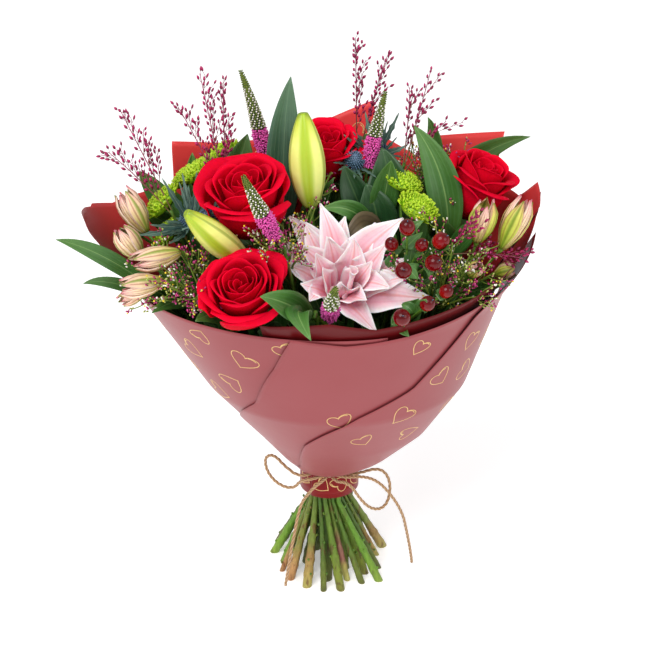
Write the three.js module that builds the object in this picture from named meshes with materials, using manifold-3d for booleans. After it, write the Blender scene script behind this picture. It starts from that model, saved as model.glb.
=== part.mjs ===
// Hand-tied mixed flower bouquet in wrapping paper, standing on its cut stems.
// Millimetres, +Z up, origin at the cut end of the middle stem, front towards -Y.
import * as THREE from "three";
import { mergeVertices } from "three/addons/utils/BufferGeometryUtils.js";
import Module from "manifold-3d";

const wasm = await Module();
wasm.setup();

// ---------------------------------------------------------------- driving dimensions
const CLEARANCE = 0.3; // smallest gap between neighbouring pieces
const SEAT_GAP = 0.35; // gap between a head and the end of its stem
const TIE_HEIGHT = 106; // above this height the stems fan out to their heads
const WAIST_HEIGHT = 72; // narrowest point of the stem bundle
const SLOT_PITCH = 6; // spacing of the stems at the waist
const FOOT_SPREAD = 3.1; // how much wider the bundle is at the floor
const FOOT_TWIST = THREE.MathUtils.degToRad(24); // spiral of the stems below the waist
const FAN_SOFTNESS = 25; // length over which the upper stems bend
const FAN_LENGTH = 224; // height over which the fan is measured
const STEM_LEVELS = [0, WAIST_HEIGHT, TIE_HEIGHT + 10];
const STEM_SIDES = 5;
const STEM_GAP = 0.32; // between stems that the twine draws together

const PAPER_THICKNESS = 0.6;
const PAPER_LAYERS = 5;
const LAYER_PITCH = 1.06; // distance between paper layers at the collar
const LAYER_GROWTH = 0.01; // extra pitch for each millimetre of radius
const COLLAR_RADIUS = 25.9;

const TWINE_DIAMETER = 2.8;
const TWINE_SIDES = 8;
const TWINE_STEP = 2.9 * TWINE_DIAMETER;
const BINDING_HEIGHT = 109.9;
const KNOT_SIZE = [5.6, 3.5, 3.8]; // half sizes
const KNOT_PLACE = [0, -31.4, 111.4];
const BINDING_TURNS = 2;

// ---------------------------------------------------------------- small helpers
const vec = (x, y, z) => new THREE.Vector3(x, y, z);
const from = (list) => vec(list[0], list[1], list[2]);
const lerp = THREE.MathUtils.lerp;
const rad = THREE.MathUtils.degToRad;
const UP = vec(0, 0, 1);

// seeded random numbers between low and high
function dice(seed) {
  let state = seed >>> 0;
  return (low, high) => {
    state = (Math.imul(state, 1664525) + 1013904223) >>> 0;
    return low + ((high - low) * state) / 4294967296;
  };
}

// value of a table [[key, value], ...] at a key, straight between its rows
function table(rows, key) {
  if (key <= rows[0][0]) return rows[0][1];
  for (let k = 1; k < rows.length; k++) {
    const [x0, y0] = rows[k - 1];
    const [x1, y1] = rows[k];
    if (key <= x1) return lerp(y0, y1, (key - x0) / (x1 - x0));
  }
  return rows[rows.length - 1][1];
}

// ---------------------------------------------------------------- closed bodies
function body(points, faces) {
  const vertProperties = new Float32Array(points.flatMap((p) => [p.x, p.y, p.z]));
  const triVerts = new Uint32Array(faces.flat());
  return new wasm.Manifold(new wasm.Mesh({ numProp: 3, vertProperties, triVerts }));
}

function bodyFromGeometry(geometry) {
  geometry.deleteAttribute("normal");
  geometry.deleteAttribute("uv");
  const merged = mergeVertices(geometry, 1e-4);
  const vertProperties = new Float32Array(merged.attributes.position.array);
  const triVerts = new Uint32Array(merged.index.array);
  return new wasm.Manifold(new wasm.Mesh({ numProp: 3, vertProperties, triVerts }));
}

// body through rings of points, counter-clockwise seen from the last ring
function loft(rings) {
  const count = rings[0].length;
  const points = rings.flat();
  const faces = [];
  for (let r = 0; r + 1 < rings.length; r++) {
    for (let k = 0; k < count; k++) {
      const a = r * count + k;
      const b = r * count + ((k + 1) % count);
      faces.push([a, b, b + count], [a, b + count, a + count]);
    }
  }
  const last = (rings.length - 1) * count;
  const middle = (ring) => ring.reduce((sum, p) => sum.add(p), vec(0, 0, 0)).divideScalar(count);
  points.push(middle(rings[0]), middle(rings[rings.length - 1]));
  const low = points.length - 2;
  const high = points.length - 1;
  for (let k = 0; k < count; k++) {
    const next = (k + 1) % count;
    faces.push([low, next, k], [high, last + k, last + next]);
  }
  return body(points, faces);
}

// body turned round the Z axis from a closed profile of [radius, height] points
function turned(profile, segments) {
  const points = profile.map(([radius, height]) => new THREE.Vector2(radius, height));
  return bodyFromGeometry(new THREE.LatheGeometry(points, segments).rotateX(Math.PI / 2));
}

// thin body between the faces point(u, v, 0.5) and point(u, v, -0.5), u from -1 to 1 across
// and v from 0 to 1 along
function shell(point, across, along) {
  const points = [];
  for (const side of [0.5, -0.5]) {
    for (let j = 0; j <= along; j++) {
      for (let i = 0; i <= across; i++) points.push(point((2 * i) / across - 1, j / along, side));
    }
  }
  return body(points, shellFaces(across, along));
}

// thin blade over a surface point(u, v), as thick on either side of it
function blade(point, across, along, thickness) {
  const step = 1e-3;
  const normalAt = (u, v) => {
    const du = point(u + step, v).sub(point(u - step, v));
    const dv = point(u, Math.min(v + step, 1)).sub(point(u, Math.max(v - step, 0)));
    return du.cross(dv).normalize();
  };
  const face = (u, v, side) => point(u, v).addScaledVector(normalAt(u, v), side * thickness);
  return shell(face, across, along);
}

function shellFaces(across, along) {
  const row = across + 1;
  const under = row * (along + 1);
  const faces = [];
  for (let j = 0; j < along; j++) {
    for (let i = 0; i < across; i++) {
      const a = j * row + i;
      const c = a + row + 1;
      faces.push([a, a + 1, c], [a, c, a + row]);
      faces.push([a + under, c + under, a + 1 + under], [a + under, a + row + under, c + under]);
    }
  }
  const border = [];
  for (let i = 0; i < across; i++) border.push(i);
  for (let j = 0; j < along; j++) border.push(j * row + across);
  for (let i = across; i > 0; i--) border.push(along * row + i);
  for (let j = along; j > 0; j--) border.push(j * row);
  border.forEach((p, k) => {
    const q = border[(k + 1) % border.length];
    faces.push([q, p, p + under], [q, p + under, q + under]);
  });
  return faces;
}

// directions across a path, carried along it without twisting
function pathFrames(points) {
  let side = vec(1, 0, 0);
  return points.map((point, k) => {
    const before = points[Math.max(k - 1, 0)];
    const after = points[Math.min(k + 1, points.length - 1)];
    const along = after.clone().sub(before).normalize();
    side = side.clone().addScaledVector(along, -side.dot(along)).normalize();
    return { point, along, side, other: along.clone().cross(side) };
  });
}

// tapering shoot through points, radiusAt(t) with t from 0 to 1
function shoot(points, radiusAt, sides, cutFlat = false) {
  const rings = pathFrames(points).map(({ point, along, side, other }, k) => {
    const radius = radiusAt(k / (points.length - 1));
    return Array.from({ length: sides }, (_, s) => {
      const angle = (2 * Math.PI * s) / sides;
      const p = point.clone();
      p.addScaledVector(side, radius * Math.cos(angle));
      p.addScaledVector(other, radius * Math.sin(angle));
      if (cutFlat && k === 0) p.addScaledVector(along, -p.z / along.z);
      return p;
    });
  });
  return loft(rings);
}

// points of a bend from a to b by way of a corner point
function bend(a, corner, b, count) {
  return new THREE.QuadraticBezierCurve3(a, corner, b).getPoints(count);
}

// matrix that stands a shape built along +Z on base, along axis, turned by spin
function standOn(base, axis, spin = 0) {
  const turn = new THREE.Quaternion().setFromUnitVectors(UP, axis.clone().normalize());
  turn.multiply(new THREE.Quaternion().setFromAxisAngle(UP, spin));
  return new THREE.Matrix4().compose(base, turn, vec(1, 1, 1));
}

const moved = (solid, matrix) => solid.transform(matrix.elements);

// ---------------------------------------------------------------- nodes and their clearance
const nodes = new Map();
const placed = [];
const noRoom = {};

function startNode(name, color, roughness) {
  nodes.set(name, { solids: [], material: { color, roughness, metalness: 0 } });
  return name;
}

function boxesNear(a, b) {
  return [0, 1, 2].every((k) => a.min[k] - CLEARANCE <= b.max[k] && b.min[k] - CLEARANCE <= a.max[k]);
}

// name of the node that a solid would come too close to, if any
function blockerOf(solid, name) {
  const box = solid.boundingBox();
  return placed.find((other) => other.name !== name && boxesNear(box, other.box)
    && other.solid.minGap(solid, CLEARANCE + 0.05) < CLEARANCE)?.name;
}

// adds the first version make(attempt) that is clear of every other node
function addClear(name, make, attempts = 1) {
  const blockers = [];
  for (let attempt = 0; attempt < attempts; attempt++) {
    const solid = make(attempt);
    const blocker = blockerOf(solid, name);
    blockers.push(blocker);
    if (!blocker) {
      nodes.get(name).solids.push(solid);
      placed.push({ name, solid, box: solid.boundingBox() });
      return true;
    }
  }
  noRoom[name] = [...(noRoom[name] ?? []), blockers[0]];
  return false;
}

// ---------------------------------------------------------------- wrapping paper
// outermost paper surface: [height, radius left, right, front, back]
const PAPER_ROWS = [
  [82, 26.6, 26.6, 26.6, 26.6],
  [113.5, COLLAR_RADIUS, COLLAR_RADIUS, COLLAR_RADIUS, COLLAR_RADIUS],
  [118, 29.5, 29.5, 29.5, 29.5],
  [112.5, 36, 38, 39.5, 35],
  [121, 44, 56, 48.5, 42],
  [150, 67, 88, 70, 62],
  [200, 111, 119, 103, 88],
  [290, 170, 148, 136, 114],
  [340, 207, 180, 160, 122],
  [400, 225, 212, 180, 132],
];
const LIP_ROW = 3; // above this row the height rises steadily
const COLUMN_ANGLE = 18; // degrees between the columns of the paper

// place on the outermost surface, row is a fractional row of PAPER_ROWS
function paperSurface(angle, row) {
  const k = Math.min(Math.floor(row), PAPER_ROWS.length - 2);
  const [height, left, right, front, back] = PAPER_ROWS[k].map(
    (value, column) => lerp(value, PAPER_ROWS[k + 1][column], row - k),
  );
  const sideways = Math.sin(angle) < 0 ? left : right;
  const forward = Math.cos(angle) > 0 ? front : back;
  return vec(sideways * Math.sin(angle), -forward * Math.cos(angle), height);
}

function rowAtHeight(height) {
  for (let k = LIP_ROW; k + 1 < PAPER_ROWS.length; k++) {
    const low = PAPER_ROWS[k][0];
    const high = PAPER_ROWS[k + 1][0];
    if (height <= high) return k + (height - low) / (high - low);
  }
  return PAPER_ROWS.length - 1;
}

// direction from the surface into the bouquet, longer at a fold between rows, so that sheets
// laid along it keep their distance and thickness there
function inwardFrom(angle, row) {
  const step = 0.01;
  const last = PAPER_ROWS.length - 1;
  const around = paperSurface(angle + step, row).sub(paperSurface(angle - step, row));
  const normalOver = (low, high) => {
    return paperSurface(angle, high).sub(paperSurface(angle, low)).cross(around).normalize();
  };
  const below = normalOver(Math.max(row - step, 0), Math.max(row, step));
  const above = normalOver(Math.min(row, last - step), Math.min(row + step, last));
  return below.clone().add(above).divideScalar(1 + below.dot(above));
}

// point of a layer, side is 0 on its middle, 0.5 on its outer face and -0.5 on its inner face
function paperPoint(angle, row, layer, side = 0) {
  const point = paperSurface(angle, row);
  const radius = Math.hypot(point.x, point.y);
  const pitch = LAYER_PITCH + LAYER_GROWTH * Math.max(radius - COLLAR_RADIUS, 0);
  const depth = pitch * (PAPER_LAYERS - 1 - layer) - side * PAPER_THICKNESS;
  return point.addScaledVector(inwardFrom(angle, row), depth);
}

// point on the flat facets between the columns of the paper
function facetPoint(angle, row, layer, side) {
  const column = Math.floor(angle / COLUMN_ANGLE);
  const low = paperPoint(rad(column * COLUMN_ANGLE), row, layer, side);
  const high = paperPoint(rad((column + 1) * COLUMN_ANGLE), row, layer, side);
  return low.lerp(high, angle / COLUMN_ANGLE - column);
}

// each sheet: layer (0 innermost), columns it spans, rim height by angle in degrees, angles of
// corners that its rim has between the columns, and for a sheet whose side shows as a slanting
// edge, the angle of that edge by height
const SHEETS = {
  wrap_sheet_back_right: {
    layer: 0, columns: [5, 11], corners: [104, 130, 169], fullRows: 7,
    rim: [[90, 344], [104, 355], [110, 338], [126, 342], [130, 383], [151, 370], [154, 350], [167, 368],
      [169, 397], [182, 377], [198, 362]],
  },
  wrap_sheet_inner_right: {
    layer: 1, columns: [-1, 6], fullRows: 7,
    rim: [[-15, 302], [0, 308], [14, 299], [45, 307], [75, 320], [90, 335], [100, 350], [108, 340]],
  },
  wrap_sheet_back_left: {
    layer: 1, columns: [-10, -4], corners: [-140, -78], fullRows: 7,
    rim: [[-180, 366], [-155, 362], [-140, 370], [-137, 332], [-110, 332], [-78, 354], [-72, 336]],
  },
  wrap_sheet_left: {
    layer: 2, columns: [-6, 1], fullRows: 6,
    rim: [[-105, 280], [-84, 288], [-52, 293], [15, 291]],
  },
  wrap_sheet_centre: {
    layer: 3, columns: [-5, 4], fullRows: 6,
    rim: [[-10, 294], [5, 288], [23, 291], [45, 298], [75, 309]],
    edge: [[138, -84], [150, -75], [190, -47], [215, -30], [260, -17], [293, -10], [340, -6]],
  },
  wrap_sheet_right: {
    layer: 4, columns: [-2, 5], fullRows: 6,
    rim: [[56, 303], [75, 315], [90, 326]],
    edge: [[124, -31], [168, -14], [208, 11], [232, 31], [305, 56], [345, 64]],
  },
};
const PAPER_COLOR = 0xb0606a;

// sheets follow every row of the surface up to fullRows, then one strip up to their rim
function wholeSheet({ layer, columns: [first, last], corners = [], fullRows, rim }) {
  const columns = Array.from({ length: last - first + 1 }, (_, k) => COLUMN_ANGLE * (first + k));
  const angles = [...columns, ...corners].sort((a, b) => a - b);
  const spans = angles.length - 1;
  return shell((u, v, side) => {
    const line = Math.round(v * (fullRows + 1));
    const angle = angles[Math.round((spans * (u + 1)) / 2)];
    const row = line <= fullRows ? line : rowAtHeight(table(rim, angle));
    return facetPoint(angle, row, layer, side);
  }, spans, fullRows + 1);
}

// thick slab over the corner of the sheet that lies beyond its slanting edge
function cornerSlab({ layer, columns, edge }) {
  const low = edge[0][0];
  const high = edge[edge.length - 1][0];
  const far = COLUMN_ANGLE * columns[0] - 12;
  return blade((u, v) => {
    const height = lerp(low, high, v);
    const angle = lerp(far, table(edge, height), (u + 1) / 2);
    return paperPoint(rad(angle), rowAtHeight(height), layer);
  }, 8, 10, 8);
}

function sheetBody(sheet) {
  return sheet.edge ? wholeSheet(sheet).subtract(cornerSlab(sheet)) : wholeSheet(sheet);
}

for (const [name, sheet] of Object.entries(SHEETS)) {
  startNode(name, PAPER_COLOR, 0.55);
  addClear(name, () => sheetBody(sheet));
}

// ---------------------------------------------------------------- twine
const TWINE_COLOR = 0xc8a06e;
const TWINE_ROUTES = {
  twine_loop_left: [
    [-5.9, -31.78, 113.15], [-14, -32, 111.8], [-21, -33, 109.9], [-29.5, -32.5, 111.4], [-39, -28.5, 117.6],
    [-45, -25, 122.5], [-50.5, -22, 123.5], [-54.8, -20, 119.5], [-55.2, -20, 112.5], [-53, -21, 105.5],
    [-49, -22, 99.5], [-43.5, -23.5, 95], [-36.5, -25.8, 93], [-30, -28, 95], [-26, -30, 100.5],
    [-22, -33.6, 105], [-17, -35.4, 107.2], [-11.5, -35, 108.4], [-4.9, -32.65, 109.7],
  ],
  twine_loop_right: [
    [2.82, -32.9, 107.62], [7.8, -35.2, 105], [12.5, -36.2, 104.8], [17.2, -36, 102.2], [21, -35, 97.3],
    [24.5, -33.6, 90.8], [28.8, -32, 83.5], [33.7, -30.5, 77], [39, -28.8, 72.8], [45, -27, 71.5],
    [50, -25, 74.5], [53, -23, 81], [53.8, -22, 89], [53, -21.8, 97], [50, -22.5, 104.5],
    [45, -24.5, 110], [38, -27, 112], [30, -29.5, 111.2], [21, -31.5, 110.2], [13, -32, 112.2],
    [5.82, -31.4, 113.5],
  ],
  twine_tail_left: [
    [-2.2, -32.7, 107.6], [-7, -34.3, 103.4], [-12.5, -34.4, 98.6], [-18.5, -34, 90.5], [-23.5, -34, 82],
    [-26.8, -36.5, 71], [-29.3, -41, 60], [-31.6, -45.5, 49], [-33.6, -49, 38], [-35.4, -50.5, 27],
    [-37, -50.8, 16], [-38.4, -50.6, 6],
  ],
  twine_tail_right: [
    [5.18, -33.32, 110.64], [14, -34.8, 109.3], [22, -35.4, 109.8], [30, -35.7, 109.8], [38, -35.5, 107.3],
    [45, -34.5, 101.7], [51.5, -33, 93.3], [57.5, -31.5, 83.5], [62.5, -29.5, 73], [66.3, -26.5, 61],
    [68.8, -22.5, 48], [71, -19, 35.5], [73, -15.5, 23], [74.6, -12.8, 12], [75.6, -11, 3],
  ],
};

function roundSection(radius, sides) {
  const shape = new THREE.Shape();
  for (let k = 0; k < sides; k++) {
    const angle = (2 * Math.PI * k) / sides;
    const [x, y] = [radius * Math.cos(angle), radius * Math.sin(angle)];
    if (k === 0) shape.moveTo(x, y);
    else shape.lineTo(x, y);
  }
  return shape;
}

function twineBody(route) {
  const path = new THREE.CatmullRomCurve3(route.map(from));
  const steps = Math.round(path.getLength() / TWINE_STEP);
  const section = roundSection(TWINE_DIAMETER / 2, TWINE_SIDES);
  const options = { extrudePath: path, steps, bevelEnabled: false };
  return bodyFromGeometry(new THREE.ExtrudeGeometry(section, options));
}

// the wound turns lie side by side, so their outline is a row of half circles
function bindingBody() {
  const inner = COLLAR_RADIUS + PAPER_THICKNESS / 2 + 0.5;
  const middle = inner + TWINE_DIAMETER / 2;
  const low = BINDING_HEIGHT - (BINDING_TURNS * TWINE_DIAMETER) / 2;
  const profile = [[inner, low]];
  for (let turn = 0; turn < BINDING_TURNS; turn++) {
    for (const angle of [-40, 40]) {
      const height = low + TWINE_DIAMETER * (turn + 0.5 + 0.5 * Math.sin(rad(angle)));
      profile.push([middle + (TWINE_DIAMETER / 2) * Math.cos(rad(angle)), height]);
    }
  }
  profile.push([inner, low + BINDING_TURNS * TWINE_DIAMETER], [inner, low]);
  return turned(profile, 360 / COLUMN_ANGLE);
}

// knot of crossed turns at the front of the binding
function knotBody() {
  const knot = new THREE.SphereGeometry(1, 8, 4);
  knot.scale(...KNOT_SIZE);
  knot.translate(...KNOT_PLACE);
  return bodyFromGeometry(knot);
}

startNode("twine_binding", TWINE_COLOR, 0.9);
addClear("twine_binding", bindingBody);
addClear("twine_binding", knotBody);
for (const [name, route] of Object.entries(TWINE_ROUTES)) {
  startNode(name, TWINE_COLOR, 0.9);
  addClear(name, () => twineBody(route));
}

// ---------------------------------------------------------------- what grows on which stem
// each stem: where its head sits, which way the head looks, stem radius
const STEMS = {
  rose_front: { head: [-64, -96, 304], axis: [-0.2, -0.7, 0.68], radius: 3.45 },
  rose_left: { head: [-64, -26, 354], axis: [-0.1, -0.3, 0.95], radius: 3.45 },
  rose_centre: { head: [-1, 48, 362], axis: [0.0, -0.25, 0.97], radius: 3.4 },
  rose_right: { head: [116, 30, 342], axis: [0.5, -0.05, 0.86], radius: 3.6 },
  rose_back: { head: [-46, 68, 312], axis: [-0.15, 0.35, 0.92], radius: 3.4 },
  lily: { head: [6, -50, 292], axis: [0.05, -0.55, 0.83], radius: 3.58 },
  alstroemeria_left: { head: [-108, -40, 292], axis: [-0.6, -0.2, 0.77], radius: 2.94 },
  alstroemeria_right: { head: [108, -30, 290], axis: [0.5, -0.15, 0.85], radius: 2.85 },
  chrysanthemum_left: { head: [-118, 5, 300], axis: [-0.5, 0, 0.87], radius: 2.82 },
  chrysanthemum_rear_left: { head: [-92, 40, 318], axis: [-0.3, 0.1, 0.95], radius: 2.82 },
  chrysanthemum_right: { head: [62, -8, 325], axis: [0.2, 0, 0.98], radius: 2.94 },
  chrysanthemum_back: { head: [45, 84, 298], axis: [0.2, 0.35, 0.92], radius: 2.69 },
  veronica_tall: { head: [-52, 34, 372], axis: [-0.15, 0.12, 0.98], radius: 2.05 },
  veronica_left: { head: [-43, -78, 358], axis: [-0.42, -0.2, 0.88], radius: 2.05 },
  veronica_right: { head: [33, 26, 376], axis: [0.16, 0.14, 0.98], radius: 2.05 },
  veronica_front: { head: [0, -112, 305], axis: [0.04, -0.62, 0.78], radius: 2.05 },
  eryngium_left: { head: [-112, -18, 340], axis: [-0.35, -0.1, 0.93], radius: 2.43 },
  eryngium_centre: { head: [40, 44, 376], axis: [0.2, 0.1, 0.97], radius: 2.43 },
  hypericum_upper: { head: [62, -68, 326], axis: [0.3, -0.4, 0.87], radius: 2.56 },
  hypericum_lower: { head: [56, -92, 288], axis: [0.3, -0.6, 0.74], radius: 2.56 },
  panicum_far_left: { head: [-128, -4, 345], axis: [-0.42, 0.12, 0.9], radius: 1.66 },
  panicum_left: { head: [-84, 8, 352], axis: [-0.2, 0.1, 0.97], radius: 1.66 },
  panicum_centre: { head: [24, 76, 362], axis: [0, -0.05, 1], radius: 1.66 },
  panicum_right: { head: [62, 28, 372], axis: [0.25, 0.1, 0.96], radius: 1.66 },
  panicum_far_right: { head: [92, -40, 325], axis: [0.75, -0.1, 0.65], radius: 1.66 },
  limonium_left: { head: [-100, -66, 292], axis: [-0.35, -0.45, 0.82], radius: 1.92 },
  limonium_centre: { head: [-34, -58, 320], axis: [-0.2, -0.45, 0.87], radius: 1.92 },
  limonium_right: { head: [92, -58, 290], axis: [0.4, -0.4, 0.82], radius: 1.92 },
  limonium_rear_right: { head: [92, 42, 330], axis: [0.3, 0.15, 0.94], radius: 1.92 },
  foliage_tall: { head: [-34, 8, 330], axis: [0.02, 0.02, 1], radius: 2.69 },
  foliage_right: { head: [96, 4, 318], axis: [-0.1, 0.1, 0.99], radius: 2.69 },
  foliage_far_right: { head: [86, 66, 318], axis: [0.5, 0.1, 0.85], radius: 2.69 },
  foliage_far_left: { head: [-138, -48, 290], axis: [-0.8, -0.1, 0.6], radius: 2.69 },
  foliage_front: { head: [-12, -98, 296], axis: [-0.1, -0.7, 0.7], radius: 2.69 },
  foliage_centre: { head: [40, 4, 335], axis: [0.1, -0.1, 0.98], radius: 2.69 },
  foliage_rear_left: { head: [-118, 62, 296], axis: [-0.5, 0.3, 0.8], radius: 2.69 },
  foliage_rear_right: { head: [10, 98, 302], axis: [0.1, 0.5, 0.86], radius: 2.69 },
};
const NECK_LENGTH = 20; // straight piece of stem right below a head

// point inside the straight neck where the branch number k leaves
function branchFoot({ head, axis }, k) {
  return from(head).addScaledVector(from(axis).normalize(), -3 - 4 * k);
}

const fanShare = (height) => {
  const rise = Math.max(height - TIE_HEIGHT, 0);
  return (Math.hypot(rise, FAN_SOFTNESS) - FAN_SOFTNESS) / FAN_LENGTH;
};

function neckOf({ head, axis }) {
  return from(head).addScaledVector(from(axis).normalize(), -NECK_LENGTH);
}

// places of the stems at the waist: the hexagonal packing nearest to its middle
function waistSlots(count) {
  const slots = [];
  for (let row = -5; row <= 5; row++) {
    for (let column = -8; column <= 8; column++) {
      const x = SLOT_PITCH * (column + row / 2);
      const y = SLOT_PITCH * row * Math.sqrt(0.75);
      slots.push(vec(x, y, 0));
    }
  }
  const order = (p) => Math.round(p.length() * 1000) + 0.1 * Math.atan2(p.y, p.x);
  return slots.sort((a, b) => order(a) - order(b)).slice(0, count);
}

// swaps places until no two stems would cross on their way up
function untangle(stems) {
  const aims = stems.map((stem) => {
    const neck = neckOf(stem);
    return vec(neck.x, neck.y, 0).divideScalar(fanShare(neck.z));
  });
  for (let sweep = 0; sweep < 40; sweep++) {
    stems.forEach((a, i) => stems.forEach((b, j) => {
      const gain = b.slot.clone().sub(a.slot).dot(aims[i].clone().sub(aims[j]));
      if (gain > 1e-9) [a.slot, b.slot] = [b.slot, a.slot];
    }));
  }
}

// draws the stems in until each rests against its neighbours, the middle one stays
function drawTogether(stems) {
  const middle = stems.reduce((a, b) => (a.slot.length() < b.slot.length() ? a : b));
  for (let sweep = 0; sweep < 600; sweep++) {
    const pull = sweep < 400 ? 0.004 : 0;
    stems.forEach((stem) => stem.slot.multiplyScalar(1 - pull));
    stems.forEach((a, i) => stems.slice(i + 1).forEach((b) => pushApart(a, b)));
    middle.slot.set(0, 0, 0);
  }
}

function pushApart(a, b) {
  const away = b.slot.clone().sub(a.slot);
  const short = a.radius + b.radius + STEM_GAP - away.length();
  if (short <= 0) return;
  away.setLength(short / 2);
  b.slot.add(away);
  a.slot.sub(away);
}

function bundleStems() {
  const stems = Object.values(STEMS);
  const slots = waistSlots(stems.length);
  stems.forEach((stem, k) => {
    stem.slot = slots[k];
  });
  for (let round = 0; round < 3; round++) {
    untangle(stems);
    drawTogether(stems);
  }
}

function stemPoint(stem, height) {
  const { slot } = stem;
  if (height < WAIST_HEIGHT) {
    const share = (WAIST_HEIGHT - height) / WAIST_HEIGHT;
    const foot = slot.clone().multiplyScalar(FOOT_SPREAD).applyAxisAngle(UP, FOOT_TWIST);
    return slot.clone().lerp(foot, share).setZ(height);
  }
  const neck = neckOf(stem);
  const share = fanShare(height) / fanShare(neck.z);
  return vec(lerp(slot.x, neck.x, share), lerp(slot.y, neck.y, share), height);
}

function stemPath(stem) {
  const neck = neckOf(stem);
  const levels = STEM_LEVELS.filter((height) => height < neck.z - 12);
  const points = levels.map((height) => stemPoint(stem, height));
  const top = from(stem.head).addScaledVector(from(stem.axis).normalize(), -SEAT_GAP);
  return [...points, neck, top];
}

bundleStems();

const STEM_COLOR = 0x5f8f3c;

function growStem(key, name) {
  const stem = STEMS[key];
  startNode(name, STEM_COLOR, 0.6);
  const radiusAt = (t) => stem.radius * lerp(1.1, 0.7, t);
  addClear(name, () => shoot(stemPath(stem), radiusAt, STEM_SIDES, true));
}

for (const key of Object.keys(STEMS)) {
  const name = key.startsWith("rose") || key.startsWith("lily") ? `${key}_stem` : key;
  growStem(key, name);
}

// ---------------------------------------------------------------- leaves
const leafOutline = (v) => {
  if (v < 0.12) return 0.1;
  return Math.max(Math.sin(Math.PI * ((v - 0.12) / 0.88) ** 0.8) ** 0.85, 0.06);
};

// leaf from a to tip over a corner point, folded along its rib
function leafBody(a, corner, tip, width, face, along = 3) {
  const spine = new THREE.QuadraticBezierCurve3(a, corner, tip);
  return blade((u, v) => {
    const tangent = spine.getTangent(v);
    const across = tangent.clone().cross(face).normalize();
    const lift = across.clone().cross(tangent);
    const half = (width / 2) * leafOutline(v);
    const wave = 0.06 * width * Math.sin(9 * v) * u;
    const point = spine.getPoint(v).addScaledVector(across, half * u);
    return point.addScaledVector(lift, 0.35 * half * Math.abs(u) + wave * leafOutline(v));
  }, 2, along, 0.8);
}

// leaves of each stem: [corner, tip, width], from the stem's point at a height
const LEAVES = {
  foliage_tall: [
    [330, [-42, 16, 390], [-31, 24, 452], 25],
    [322, [-52, 38, 350], [-44, 64, 404], 15],
    [300, [-14, 8, 340], [4, 6, 372], 14],
    [296, [-52, 34, 340], [-74, 44, 380], 15],
  ],
  foliage_right: [
    [316, [104, 0, 372], [69, 22, 411], 25],
    [300, [110, -14, 330], [126, -30, 352], 15],
    [290, [70, 10, 318], [60, 30, 352], 15],
  ],
  foliage_far_right: [
    [316, [116, 90, 366], [168, 47, 392], 18],
    [296, [100, 50, 330], [112, 44, 366], 15],
    [316, [100, 84, 366], [84, 78, 398], 15],
  ],
  foliage_far_left: [
    [288, [-178, -54, 336], [-216, -60, 346], 17],
    [280, [-172, -72, 322], [-194, -78, 316], 10],
    [272, [-140, -60, 312], [-160, -76, 308], 14],
  ],
  foliage_front: [
    [292, [-28, -128, 326], [-52, -146, 338], 20],
    [288, [-36, -124, 332], [-14, -167, 312], 18],
  ],
  foliage_centre: [
    [332, [48, 6, 366], [46, -2, 392], 20],
    [326, [20, 8, 362], [12, 14, 386], 18],
    [330, [30, -18, 372], [50, -30, 384], 14],
  ],
  foliage_rear_left: [
    [294, [-150, 66, 336], [-162, 60, 356], 18],
    [286, [-120, 84, 330], [-118, 88, 362], 18],
    [290, [-140, 40, 322], [-158, 20, 336], 16],
  ],
  foliage_rear_right: [
    [304, [20, 112, 346], [36, 112, 372], 18],
    [296, [-14, 112, 336], [-34, 108, 366], 18],
    [300, [0, 106, 330], [-4, 100, 366], 16],
  ],
  rose_front_stem: [[270, [-84, -78, 300], [-104, -112, 300], 20]],
  rose_left_stem: [[318, [-84, -20, 344], [-112, -4, 356], 18]],
  alstroemeria_left: [[280, [-120, -60, 300], [-140, -90, 296], 12]],
  alstroemeria_right: [[280, [120, -50, 300], [136, -70, 310], 12]],
};
const LEAF_COLOR = 0x3f7a35;

function stemOf(name) {
  return STEMS[name.replace("_stem", "")];
}

function growLeaves(name) {
  const random = dice(LEAVES[name][0][0]);
  for (const [height, corner, tip, width] of LEAVES[name]) {
    const foot = stemPoint(stemOf(name), Math.min(height, neckOf(stemOf(name)).z));
    addClear(name, (attempt) => {
      const shift = () => random(-4, 4) * attempt;
      const bendAt = from(corner).add(vec(shift(), shift(), shift()));
      const end = from(tip).add(vec(shift(), shift(), shift()));
      const face = vec(-0.15 * foot.x / 100, -0.9, 0.55);
      return leafBody(foot, bendAt, end, width * (1 - 0.06 * attempt), face);
    }, 6);
  }
}

// ---------------------------------------------------------------- roses
// petal layers from the middle outwards: [petals, share of radius, share of height, opening]
const WIDE_ROSE = [[3, 0.64, 0.97, 0.3], [5, 1, 0.8, 0.85]];
const SLIM_ROSE = [[3, 0.66, 0.97, 0.3], [4, 1, 0.8, 0.85]];
const ROSES = {
  rose_front: { radius: 36, height: 36, spin: 0.3, layers: WIDE_ROSE },
  rose_left: { radius: 39, height: 38, spin: 1.1, layers: WIDE_ROSE },
  rose_centre: { radius: 29, height: 36, spin: 0.6, layers: SLIM_ROSE },
  rose_right: { radius: 31, height: 38, spin: 2, layers: SLIM_ROSE },
  rose_back: { radius: 29, height: 34, spin: 1.6, layers: SLIM_ROSE },
};
const ROSE_COLOR = 0xd01530;

function rosePetal(radius, height, opening, centre, half, foot) {
  return blade((u, v) => {
    const angle = centre + half * u * lerp(0.3, 1, Math.sin((Math.PI / 2) * v));
    const flare = Math.sin((Math.PI / 2) * v) ** 0.8;
    const lean = lerp(foot, radius * (1 + 0.12 * opening * v * v), flare) + 1.5 * u;
    const droop = opening * 0.22 * height * v ** 4;
    const z = 1.5 + height * (v - 0.16 * u * u * v * v) - droop;
    return vec(lean * Math.cos(angle), lean * Math.sin(angle), z);
  }, 3, 2, 0.8);
}

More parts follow.
